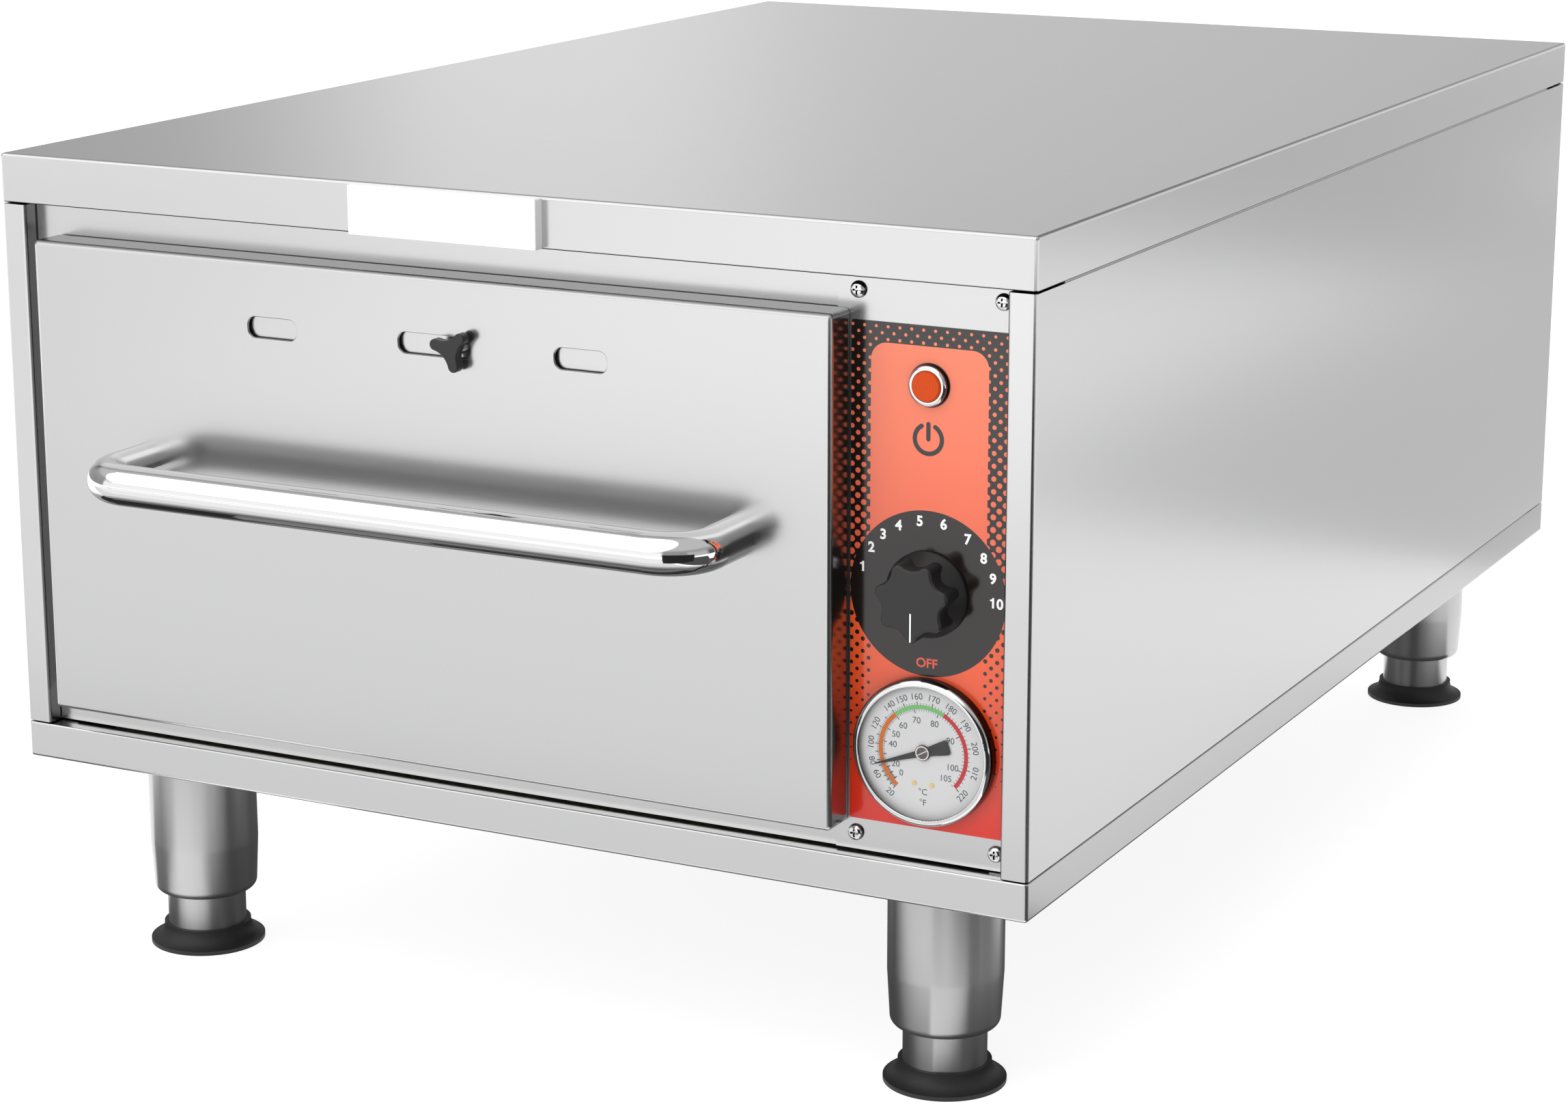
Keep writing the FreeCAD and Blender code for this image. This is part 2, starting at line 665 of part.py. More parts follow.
def gauge_case():
    """Cup through the panel, flanged under the dial, with a bearing post for the spindle."""
    outer = CASE_D / 2
    inner = outer - CASE_WALL
    bearing = SPINDLE_D / 2 + SPINDLE_GAP
    post = bearing + 2 * CASE_WALL
    flange = BEZEL_D / 2 - 2 * CASE_WALL
    corners = [
        (bearing, -CASE_DEPTH, 0), (outer, -CASE_DEPTH, CASE_WALL), (outer, DIAL_HEIGHT - CASE_WALL, 0),
        (flange, DIAL_HEIGHT - CASE_WALL, 0), (flange, DIAL_HEIGHT, 0), (inner, DIAL_HEIGHT, 0),
        (inner, CASE_WALL - CASE_DEPTH, 0), (post, CASE_WALL - CASE_DEPTH, 0), (post, 0, 0), (bearing, 0, 0),
    ]
    return turned(corners, (CONTROL_X, OVERLAY_Y, GAUGE_Z), FORWARD)


def gauge_bezel():
    """Rounded ring that holds the case flange, the dial and the glass."""
    outer = BEZEL_D / 2
    sight = BEZEL_SIGHT_D / 2
    pocket = outer - 2 * CASE_WALL + FIT
    lip = BEZEL_HEIGHT - CASE_WALL
    corners = [
        (pocket, 0, 0), (outer, 0, 0), (outer, BEZEL_HEIGHT, BEZEL_ROUND),
        (sight, BEZEL_HEIGHT, CASE_WALL / 2), (sight, lip, 0), (pocket, lip, 0),
    ]
    return turned(corners, (CONTROL_X, OVERLAY_Y, GAUGE_Z), FORWARD)


def gauge_dial():
    bore = SPINDLE_D / 2 + SPINDLE_GAP
    outer = BEZEL_D / 2 - 2 * CASE_WALL
    top = DIAL_HEIGHT + DIAL_THICK
    corners = [(bore, DIAL_HEIGHT, 0), (outer, DIAL_HEIGHT, 0), (outer, top, 0), (bore, top, 0)]
    return turned(corners, (CONTROL_X, OVERLAY_Y, GAUGE_Z), FORWARD)


def gauge_glass():
    outer = BEZEL_D / 2 - 2 * CASE_WALL
    top = BEZEL_HEIGHT - CASE_WALL
    corners = [(0, top - GLASS_THICK, 0), (outer, top - GLASS_THICK, 0), (outer, top, 0), (0, top, 0)]
    return turned(corners, (CONTROL_X, OVERLAY_Y, GAUGE_Z), FORWARD)


def gauge_needle():
    """Tapered pointer with a broad tail, on a spindle that runs in the case's post."""
    low = DIAL_HEIGHT + DIAL_THICK + NEEDLE_LIFT
    high = low + NEEDLE_THICK
    hub = NEEDLE_HUB_D / 2
    spindle = SPINDLE_D / 2
    core = turned(
        [(0, CASE_WALL - CASE_DEPTH, 0), (spindle, CASE_WALL - CASE_DEPTH, 0), (spindle, low, 0),
         (hub, low, 0), (hub, high + NEEDLE_THICK / 2, NEEDLE_THICK / 2), (0, high + NEEDLE_THICK / 2, 0)],
        (0, 0, 0), UP)
    half = NEEDLE_WIDTH / 2
    point = NEEDLE_THICK / 2
    blade = [(NEEDLE_LENGTH, -point, 0), (NEEDLE_LENGTH, point, 0), (0, half, 0),
             (-NEEDLE_TAIL, hub, hub / 3), (-NEEDLE_TAIL, -hub, hub / 3), (0, -half, 0)]
    needle = core.fuse(extruded(blade, "XY", low, high)).removeSplitter()
    needle.rotate(Vector(), Vector(0, 0, 1), NEEDLE_REST)
    facing = Placement(Vector(CONTROL_X, OVERLAY_Y, GAUGE_Z), Rotation(Vector(1, 0, 0), 90))
    needle.Placement = facing.multiply(needle.Placement)
    return needle


def thermostat_body():
    """Switch block clamped behind the panel by a threaded bushing."""
    half = THERMOSTAT_WIDTH / 2
    corners = rectangle(CONTROL_X - half, CONTROL_X + half, KNOB_Z - half, KNOB_Z + half, COLLAR_CORNER)
    body = extruded(corners, "XZ", FRAME_Y, FRAME_Y + THERMOSTAT_DEPTH)
    bushing_end = FRAME_Y - BUSHING_LENGTH
    body = body.fuse(rod(BUSHING_D, (CONTROL_X, FRAME_Y, KNOB_Z), (CONTROL_X, bushing_end, KNOB_Z)))
    bore_end = FRAME_Y + THERMOSTAT_DEPTH / 2
    bore = rod(SHAFT_D + 2 * AXLE_GAP, (CONTROL_X, 0, KNOB_Z), (CONTROL_X, bore_end, KNOB_Z))
    return body.cut(bore).removeSplitter()


def knob_front_y():
    return OVERLAY_Y - KNOB_GAP - KNOB_HEIGHT


def thermostat_shaft():
    back = FRAME_Y + THERMOSTAT_DEPTH / 2 - FIT
    front = knob_front_y() + KNOB_HEIGHT / 3
    return rod(SHAFT_D, (CONTROL_X, back, KNOB_Z), (CONTROL_X, front, KNOB_Z))


def lobed_outline(x, y, z, lobes, tip, valley, lobe_round, first_turn):
    """Ring of round lobes joined by tangent hollows, across the y axis."""
    centre = tip - lobe_round
    step = math.pi / lobes
    lean = math.cos(step)
    hollow = (lobe_round ** 2 - valley ** 2 - centre ** 2 + 2 * centre * valley * lean) / (
        2 * (valley - centre * lean - lobe_round))
    hollow_centre = valley + hollow

    def at(radius, turn):
        return Vector(x + radius * math.cos(turn), y, z + radius * math.sin(turn))

    def joint(lobe_turn, hollow_turn):
        lobe = at(centre, lobe_turn)
        towards = at(hollow_centre, hollow_turn) - lobe
        return lobe + towards * (lobe_round / towards.Length)

    edges = []
    for index in range(lobes):
        turn = math.radians(first_turn) + 2 * step * index
        before = joint(turn, turn - step)
        after = joint(turn, turn + step)
        beyond = joint(turn + 2 * step, turn + step)
        edges.append(Part.Arc(before, at(tip, turn), after).toShape())
        edges.append(Part.Arc(after, at(valley, turn + step), beyond).toShape())
    return Part.Wire(edges)


def lobed_grip(wire, back, front, edge):
    """Lobed block from its back to its front, with its front rim rounded."""
    grip = Part.Face(wire).extrude(Vector(0, front - back, 0))
    rim = [item for item in grip.Edges if item.BoundBox.YMax < front + 1e-3]
    return grip.makeFillet(edge, rim)


def thermostat_knob():
    """Lobed grip on a flared skirt, with a nib on the lobe that points."""
    back = OVERLAY_Y - KNOB_GAP
    front = knob_front_y()
    waist = back - KNOB_CONE / 2
    ring = lobed_outline(CONTROL_X, waist, KNOB_Z, KNOB_LOBES, KNOB_TIP, KNOB_VALLEY, KNOB_LOBE_ROUND, -90)
    grip = lobed_grip(ring, waist, front, KNOB_EDGE)
    flare = [(0, 0, 0), (KNOB_BASE, 0, 0), (KNOB_BASE, KNOB_EDGE, KNOB_EDGE / 3), (KNOB_NECK, KNOB_CONE, 0),
             (0, KNOB_CONE, 0)]
    skirt = turned(flare, (CONTROL_X, back, KNOB_Z), FORWARD)
    nib_tip = KNOB_Z - KNOB_TIP - KNOB_POINT
    nib_root = KNOB_Z - KNOB_TIP + KNOB_LOBE_ROUND
    nib = extruded([(CONTROL_X - KNOB_NIB / 2, nib_root, 0), (CONTROL_X, nib_tip, KNOB_EDGE / 2),
                    (CONTROL_X + KNOB_NIB / 2, nib_root, 0)], "XZ", front + KNOB_EDGE, waist)
    knob = grip.fuse([skirt, nib]).removeSplitter()
    bushing_end = FRAME_Y - BUSHING_LENGTH - KNOB_GAP
    room = rod(BUSHING_D + 4 * KNOB_GAP, (CONTROL_X, back + 1, KNOB_Z), (CONTROL_X, bushing_end, KNOB_Z))
    shaft_end = front + KNOB_HEIGHT / 3
    bore = rod(SHAFT_D, (CONTROL_X, back, KNOB_Z), (CONTROL_X, shaft_end, KNOB_Z))
    return knob.cut([room, bore])


def thermostat_bulb():
    """Sensing bulb in the cavity, at the end of a capillary from the thermostat."""
    x = liner_bounds(INSULATION)[1] + CAPILLARY_BEND + FIT
    start_y = FRAME_Y + THERMOSTAT_DEPTH
    turn_y = BULB_Y - CAPILLARY_BEND
    bulb_x = CAVITY_X + WEB_X - CAPILLARY_BEND / 2
    centre = (x - CAPILLARY_BEND, turn_y)
    edges = [
        line((x, start_y, KNOB_Z), (x, turn_y, KNOB_Z)),
        corner_arc(centre, CAPILLARY_BEND, 0, 90, KNOB_Z),
        line((x - CAPILLARY_BEND, BULB_Y, KNOB_Z), (bulb_x, BULB_Y, KNOB_Z)),
    ]
    bulb = rod(BULB_D, (bulb_x, BULB_Y, KNOB_Z), (bulb_x - BULB_LENGTH, BULB_Y, KNOB_Z))
    return swept(edges, CAPILLARY_D).fuse(bulb).removeSplitter()


def capillary_hole():
    low = CAVITY_X + LINER_HALF - 1
    high = CAVITY_X + LINER_HALF + SHEET + INSULATION + 1
    return rod(CAPILLARY_D + 2 * FIT, (low, BULB_Y, KNOB_Z), (high, BULB_Y, KNOB_Z))


# Warming cavity

def liner_bounds(grow):
    """Outer limits of the liner in x and z, grown at its sides and roof."""
    side = LINER_HALF + SHEET + grow
    return CAVITY_X - side, CAVITY_X + side, CAVITY_Z0 - SHEET, CAVITY_Z1 + SHEET + grow


def cavity_wrap():
    """Left wall, roof and right wall in one bent sheet, slipped over the collar."""
    path = [
        (CAVITY_X - LINER_HALF - SHEET, CAVITY_Z0), (CAVITY_X - LINER_HALF - SHEET, CAVITY_Z1 + SHEET),
        (CAVITY_X + LINER_HALF + SHEET, CAVITY_Z1 + SHEET), (CAVITY_X + LINER_HALF + SHEET, CAVITY_Z0),
    ]
    return folded(path, "XZ", FRAME_BACK_Y, CAVITY_Y1).cut(capillary_hole())


def cavity_floor():
    x0, x1, z0, _ = liner_bounds(0)
    return box(x0, x1, FRAME_BACK_Y, CAVITY_Y1, z0, CAVITY_Z0)


def terminal_places():
    legs = element_places()
    return [(legs[0], ELEMENT_Z), (legs[-1], ELEMENT_Z)]


def cavity_back():
    x0, x1, z0, z1 = liner_bounds(0)
    back = box(x0, x1, CAVITY_Y1, CAVITY_Y1 + SHEET, z0, z1)
    return through_y(back, terminal_places(), ELEMENT_D + 2 * FIT, CAVITY_Y1, CAVITY_Y1 + SHEET)


def insulation_wrap():
    inside = rectangle(*liner_bounds(0))
    x0, x1, _, z1 = liner_bounds(INSULATION)
    outside = rectangle(x0, x1, INSULATION_Z0, z1)
    wrap = extruded(outside, "XZ", INSULATION_Y0, CAVITY_Y1 + SHEET)
    wrap = wrap.cut(extruded(inside, "XZ", INSULATION_Y0 - 1, CAVITY_Y1 + SHEET + 1))
    return wrap.cut(capillary_hole())


def insulation_back():
    x0, x1, _, z1 = liner_bounds(INSULATION)
    y0 = CAVITY_Y1 + SHEET
    back = box(x0, x1, y0, INSULATION_Y1, INSULATION_Z0, z1)
    return through_y(back, terminal_places(), ELEMENT_D + 2 * FIT, y0, INSULATION_Y1)


def heating_element():
    """One sheathed bar bent into a serpentine, both ends passing out through the back."""
    legs = element_places()
    radius = ELEMENT_PITCH / 2
    front = FRAME_BACK_Y + ELEMENT_FRONT
    rear = CAVITY_Y1 - ELEMENT_REAR
    tail = INSULATION_Y1 + TERMINAL_TAIL
    edges = []
    for index, x in enumerate(legs):
        coming_forward = index % 2 == 0
        start = tail if index == 0 else (rear if coming_forward else front)
        end = tail if index == len(legs) - 1 else (front if coming_forward else rear)
        edges.append(line((x, start, ELEMENT_Z), (x, end, ELEMENT_Z)))
        if index < len(legs) - 1:
            angles = (180, 360) if coming_forward else (180, 0)
            edges.append(corner_arc((x + radius, end), radius, *angles, ELEMENT_Z))
    return swept(edges, ELEMENT_D)


def element_support(y):
    """Folded comb that stands on the cavity floor and carries the element in open notches."""
    legs = element_places()
    path = [(y + SUPPORT_FOOT, CAVITY_Z0 + SHEET), (y, CAVITY_Z0 + SHEET), (y, ELEMENT_Z + ELEMENT_D / 4)]
    path = [(v, w) for v, w in path[::-1]]
    comb = folded(path, "YZ", legs[0] - SUPPORT_MARGIN, legs[-1] + SUPPORT_MARGIN)
    for x in legs:
        half = ELEMENT_D / 2 + FIT
        notch = box(x - half, x + half, y - 2 * SHEET, y + SHEET, ELEMENT_Z, ELEMENT_Z + ELEMENT_D)
        notch = notch.fuse(rod(2 * half, (x, y - 2 * SHEET, ELEMENT_Z), (x, y + SHEET, ELEMENT_Z)))
        comb = comb.cut(notch)
    return comb


def element_supports():
    front = FRAME_BACK_Y + ELEMENT_FRONT + SUPPORT_INSET
    rear = CAVITY_Y1 - ELEMENT_REAR - SUPPORT_INSET
    return [element_support(front), element_support(rear)]


# Drawer slides, modelled for the right-hand side of the cavity

def stub_axle(root, tip, y):
    """Shouldered pin with a retaining head, along x between its root and its tip."""
    way = 1 if tip > root else -1
    outer = ROLLER_OUT + SIDE_GAP if way < 0 else ROLLER_IN - SIDE_GAP
    inner = ROLLER_IN - SIDE_GAP if way < 0 else ROLLER_OUT + SIDE_GAP
    at = CAVITY_X
    pin = rod(AXLE_D, (at + root, y, ROLLER_Z), (at + tip, y, ROLLER_Z))
    shoulder = rod(AXLE_HEAD_D, (at + root, y, ROLLER_Z), (at + outer, y, ROLLER_Z))
    head = rod(AXLE_HEAD_D, (at + inner, y, ROLLER_Z), (at + tip, y, ROLLER_Z))
    return pin.fuse([shoulder, head]).removeSplitter()


def cabinet_rail():
    """Channel on the cavity wall: the rear roller runs in it and its own front roller carries the runner."""
    top = FLANGE_Z + SHEET + TRACK_HEADROOM
    tip = LINER_HALF - RAIL_FLANGE
    path = [
        (CAVITY_X + tip, top + SHEET), (CAVITY_X + LINER_HALF, top + SHEET),
        (CAVITY_X + LINER_HALF, TRACK_Z - SHEET), (CAVITY_X + tip, TRACK_Z - SHEET),
    ]
    rail = folded(path, "XZ", RAIL_Y0, RAIL_Y1)
    axle_tip = ROLLER_IN - SIDE_GAP - SHEET / 2
    return rail.fuse(stub_axle(RAIL_FACE, axle_tip, FRONT_ROLLER_Y)).removeSplitter()


def roller(y):
    """Crowned roller with a running bore."""
    outer = ROLLER_D / 2
    bore = AXLE_D / 2 + AXLE_GAP
    corners = [(bore, 0, 0), (outer, 0, ROLLER_CROWN),
               (outer, ROLLER_WIDTH, ROLLER_CROWN), (bore, ROLLER_WIDTH, 0)]
    return turned(corners, (CAVITY_X + ROLLER_IN, y, ROLLER_Z), (1, 0, 0))


def drawer_runner():
    """Z-shaped side of the drawer frame: track flange below, pan ledge above, roller hanger at the rear."""
    ledge_x = PAN_WIDTH / 2 - RIM_BEARING
    path = [
        (CAVITY_X + RUNNER_FLANGE_X, FLANGE_Z), (CAVITY_X + WEB_X, FLANGE_Z),
        (CAVITY_X + WEB_X, PAN_RIM_Z - SHEET), (CAVITY_X + ledge_x, PAN_RIM_Z - SHEET),
    ]
    runner = folded(path, "XZ", DRAWER_DEPTH, RUNNER_Y1)
    web0, web1 = CAVITY_X + WEB_X, CAVITY_X + WEB_X + SHEET
    corner = RUNNER_HANGER / 3
    hanger = [(RUNNER_Y1 - RUNNER_HANGER, ROLLER_Z - ROLLER_D / 3, corner),
              (RUNNER_Y1, ROLLER_Z - ROLLER_D / 3, corner),
              (RUNNER_Y1, FLANGE_Z + 2 * BEND, 0),
              (RUNNER_Y1 - RUNNER_HANGER, FLANGE_Z + 2 * BEND, 0)]
    runner = runner.fuse(extruded(hanger, "YZ", web0, web1))
    front_tab = box(web0 - RUNNER_TAB, web0, DRAWER_DEPTH, DRAWER_DEPTH + SHEET,
                    FLANGE_Z + BEND, PAN_RIM_Z - SHEET)
    axle_tip = ROLLER_OUT + SIDE_GAP + SHEET
    axle = stub_axle(WEB_X + SHEET, axle_tip, REAR_ROLLER_Y)
    return runner.fuse([front_tab, axle]).removeSplitter()


def pan_crossbar():
    """Angle that ties the two runners together behind the pan."""
    y = PAN_Y1 + CROSSBAR_GAP
    top = PAN_RIM_Z - SHEET - BEND_ROOM
    path = [(y, top - CROSSBAR_HEIGHT), (y, top), (y + CROSSBAR_DEPTH, top)]
    return folded(path, "YZ", CAVITY_X - WEB_X, CAVITY_X + WEB_X)


def food_pan():
    """Tapered pan with generous corners, hung by its rim on the runner ledges."""
    def section(inset, z):
        x = PAN_WIDTH / 2 - inset
        corners = rectangle(CAVITY_X - x, CAVITY_X + x, PAN_Y0 + inset, PAN_Y1 - inset, PAN_CORNER)
        return outline(corners, "XY", z)

    def body(skin):
        floor_z = PAN_RIM_Z - PAN_DEPTH + skin
        top_z = PAN_RIM_Z + PAN_SHEET
        floor = section(PAN_RIM + PAN_TAPER + skin, floor_z)
        solid = Part.makeLoft([floor, section(PAN_RIM + skin, top_z)], True, True)
        floor_edges = [edge for edge in solid.Edges if edge.BoundBox.ZMax < floor_z + 1e-3]
        return solid.makeFillet(PAN_FLOOR_RADIUS - skin, floor_edges)

    rim = Part.Face(section(0, PAN_RIM_Z)).extrude(Vector(0, 0, PAN_SHEET))
    return body(0.0).fuse(rim).cut(body(PAN_SHEET)).removeSplitter()


# Drawer front

def vent_slots():
    """Outlines of the three slots as (middle x, length)."""
    return [(CAVITY_X - SLOT_SPREAD, SLOT_LENGTH), (CAVITY_X + MID_SLOT_OFFSET, MID_SLOT_LENGTH),
            (CAVITY_X + SLOT_SPREAD, SLOT_LENGTH)]


def slot_cutter(x, length, y0, y1):
    half = SLOT_HEIGHT / 2
    corners = rectangle(x - length / 2, x + length / 2, VENT_Z - half, VENT_Z + half, SLOT_CORNER)
    return extruded(corners, "XZ", y0 - 1, y1 + 1)


def vent_slide_limits():
    """Ends of the vent plate when it stands closed."""
    left = CAVITY_X - SLOT_SPREAD - SLOT_LENGTH / 2 - VENT_MARGIN
    right = CAVITY_X + SLOT_SPREAD + VENT_TRAVEL + VENT_PORT / 2 + VENT_MARGIN / 2
    return left, right


def vent_guide(way):
    """Channel on the inside of the drawer front that holds the vent plate's upper or lower edge."""
    edge = VENT_Z + way * (VENT_PLATE_HEIGHT / 2 + SIDE_GAP)
    inner = edge - way * GUIDE_LIP
    outer = edge + way * GUIDE_WIDTH
    ledge = SHEET + VENT_SETBACK - SIDE_GAP
    lip = SHEET + VENT_SETBACK + VENT_PLATE + SIDE_GAP
    left, right = vent_slide_limits()
    corners = [
        (SHEET, inner, 0), (SHEET, outer, 0), (lip + SHEET, outer, 0), (lip + SHEET, inner, 0),
        (lip, inner, 0), (lip, edge, 0), (ledge, edge, 0), (ledge, inner, 0),
    ]
    return extruded(corners, "YZ", left, right)


def drawer_front():
    front = tray(DRAWER_X0, DRAWER_X1, 0, DRAWER_DEPTH, DRAWER_Z0, DRAWER_Z1, (0, 1, 0), DRAWER_BEND)
    for x, length in vent_slots():
        front = front.cut(slot_cutter(x, length, 0, SHEET))
    lips = []
    for edge in front.Edges:
        bounds = edge.BoundBox
        if bounds.YMax < FIT and abs(bounds.Center.z - VENT_Z) < SLOT_HEIGHT:
            if bounds.XMin > DRAWER_X0 + OVERLAP_LEFT and bounds.XMax < DRAWER_X1 - OVERLAP_RIGHT:
                lips.append(edge)
    front = front.makeFillet(SLOT_ROUND, lips)
    front = through_y(front, [(x, HANDLE_Z) for x in handle_places()], BOLT_D + 2 * FIT, 0, SHEET)
    return front.fuse([vent_guide(1), vent_guide(-1)]).removeSplitter()


def drawer_inside():
    """Room inside the drawer front's flanges, as x and z limits."""
    inset = SHEET + FIT
    return DRAWER_X0 + inset, DRAWER_X1 - inset, DRAWER_Z0 + inset, DRAWER_Z1 - inset


def drawer_back_plate():
    x0, x1, z0, z1 = drawer_inside()
    corners = rectangle(x0, x1, z0, z1, DRAWER_BEND)
    plate = extruded(corners, "XZ", DRAWER_DEPTH - SHEET, DRAWER_DEPTH)
    for x, length in (vent_slots()[0], vent_slots()[2]):
        plate = plate.cut(slot_cutter(x, length, DRAWER_DEPTH - SHEET, DRAWER_DEPTH))
    return plate


def drawer_insulation():
    x0, x1, z0, _ = drawer_inside()
    top = VENT_Z - VENT_PLATE_HEIGHT / 2 - GUIDE_WIDTH - GUIDE_LIP
    corners = rectangle(x0 + DRAWER_BEND, x1 - DRAWER_BEND, z0 + DRAWER_BEND, top)
    pad = extruded(corners, "XZ", SHEET, DRAWER_DEPTH - SHEET)
    for x in handle_places():
        pocket = rod(BOLT_HEAD_D + BOLT_HEAD, (x, SHEET, HANDLE_Z), (x, SHEET + 1.5 * BOLT_HEAD, HANDLE_Z))
        pad = pad.cut(pocket)
    return pad


def handle_path(start_y):
    left, right = handle_places()
    out = -HANDLE_REACH
    turn = out + HANDLE_BEND
    return [
        line((left, start_y, HANDLE_Z), (left, turn, HANDLE_Z)),
        corner_arc((left + HANDLE_BEND, turn), HANDLE_BEND, 180, 270, HANDLE_Z),
        line((left + HANDLE_BEND, out, HANDLE_Z), (right - HANDLE_BEND, out, HANDLE_Z)),
        corner_arc((right - HANDLE_BEND, turn), HANDLE_BEND, 270, 360, HANDLE_Z),
        line((right, turn, HANDLE_Z), (right, start_y, HANDLE_Z)),
    ]


def drawer_handle():
    """Bent tube whose plugged ends take the bolts."""
    handle = swept(handle_path(0), HANDLE_D).cut(swept(handle_path(-HANDLE_PLUG), HANDLE_D - 2 * HANDLE_WALL))
    for x in handle_places():
        bore = rod(BOLT_D + 2 * BOLT_GAP, (x, 1, HANDLE_Z), (x, -BOLT_GRIP - BOLT_GAP, HANDLE_Z))
        handle = handle.cut(bore)
    return handle


def handle_bolt(x):
    radius = BOLT_D / 2
    head = BOLT_HEAD_D / 2
    corners = [(0, -BOLT_HEAD, 0), (head, -BOLT_HEAD, BOLT_HEAD / 4), (head, 0, 0), (radius, 0, 0),
               (radius, SHEET + BOLT_GRIP, 0), (0, SHEET + BOLT_GRIP, 0)]
    return turned(corners, (x, SHEET, HANDLE_Z), FORWARD)


def vent_knob_x():
    """Middle of the vent knob when the vent stands closed, at the right end of the middle slot."""
    return CAVITY_X + MID_SLOT_OFFSET + MID_SLOT_LENGTH / 2 - STUD_D / 2 - STUD_MARGIN


def vent_slide():
    """Plate with two ports that line up with the outer slots when it is pushed left."""
    left, right = vent_slide_limits()
    y0 = SHEET + VENT_SETBACK
    half = VENT_PLATE_HEIGHT / 2
    plate = box(left, right, y0, y0 + VENT_PLATE, VENT_Z - half, VENT_Z + half)
    for x, _ in (vent_slots()[0], vent_slots()[2]):
        port = slot_cutter(x + VENT_TRAVEL, VENT_PORT, y0, y0 + VENT_PLATE)
        plate = plate.cut(port)
    x = vent_knob_x()
    stud = rod(STUD_D, (x, y0, VENT_Z), (x, -WING_STANDOFF + SIDE_GAP, VENT_Z))
    thread = rod(STUD_THREAD_D, (x, y0, VENT_Z), (x, -WING_STANDOFF - STUD_GRIP, VENT_Z))
    return plate.fuse([stud, thread]).removeSplitter()


def vent_knob():
    """Three-winged clamping knob on the stud of the vent plate."""
    x = vent_knob_x()
    back = -WING_STANDOFF
    front = back - WING_THICK
    ring = lobed_outline(x, back, VENT_Z, WING_COUNT, WING_TIP, WING_HUB, WING_END, WING_TURN)
    knob = lobed_grip(ring, back, front, WING_EDGE)
    bore_end = back - STUD_GRIP - SIDE_GAP
    return knob.cut(rod(STUD_THREAD_D + 2 * AXLE_GAP, (x, back + 1, VENT_Z), (x, bore_end, VENT_Z)))


# Rear fittings

def cord_place():
    return HALF - CORD_INSET, BASE_RIM_Z + CORD_RISE


def cord_bushing():
    """Snap-in ring that lines the cord hole of the rear panel."""
    x, z = cord_place()
    hole = CORD_HOLE_D / 2
    neck = BUSHING_HOLE_D / 2 - FIT
    flange = GROMMET_D / 2
    inside = SHEET + GROMMET_FLANGE
    corners = [(hole, -inside, 0), (flange, -inside, GROMMET_EDGE), (flange, -SHEET, 0), (neck, -SHEET, 0),
               (neck, 0, 0), (flange, 0, 0), (flange, GROMMET_FLANGE, GROMMET_EDGE),
               (hole, GROMMET_FLANGE, GROMMET_EDGE)]
    return turned(corners, (x, REAR_Y + SHEET, z), (0, 1, 0))


def terminal_block():
    """Moulded block on the inside of the rear panel, with a well for each conductor."""
    x, z = cord_place()
    x1 = x - BLOCK_GAP
    x0 = x1 - BLOCK_WIDTH
    z0 = z - BLOCK_HEIGHT / 2
    corners = rectangle(x0, x1, z0, z0 + BLOCK_HEIGHT, BLOCK_CORNER)
    block = extruded(corners, "XZ", REAR_Y - BLOCK_DEPTH, REAR_Y)
    pitch = BLOCK_WIDTH / BLOCK_POLES
    for index in range(BLOCK_POLES):
        middle = x0 + pitch * (index + 0.5)
        well = rod(BLOCK_WELL_D, (middle, REAR_Y - BLOCK_DEPTH - 1, z), (middle, REAR_Y - BLOCK_DEPTH / 3, z))
        block = block.cut(well)
    return block


# Legs

def leg_sleeve(x, y):
    """Tapered sleeve hung from the cabinet floor by its stud, bored for the insert."""
    bottom = BASE_Z - SLEEVE_LENGTH
    bore = INSERT_D / 2 + INSERT_GAP
    wide = SLEEVE_D / 2
    end = SLEEVE_END_D / 2
    stud = STUD_BOLT_D / 2
    roof = BASE_Z - SLEEVE_CAP
    stud_top = FLOOR_Z + NUT_HEIGHT
    corners = [
        (bore, bottom, 0), (end, bottom, SLEEVE_ROUND), (wide, bottom + SLEEVE_TAPER, SLEEVE_TAPER),
        (wide, BASE_Z, 0),
        (stud, BASE_Z, 0), (stud, stud_top, 0), (0, stud_top, 0), (0, roof, 0), (bore, roof, 0),
    ]
    return turned(corners, (x, y, 0), UP)


def leg_insert(x, y):
    """Threaded foot body, turned in or out of the sleeve to level the cabinet."""
    top = BASE_Z - SLEEVE_LENGTH + INSERT_ENGAGED
    radius = INSERT_D / 2
    corners = [(0, BOOT_SOLE, 0), (radius, BOOT_SOLE, 0), (radius, top, BOOT_LIP), (0, top, 0)]
    return turned(corners, (x, y, 0), UP)


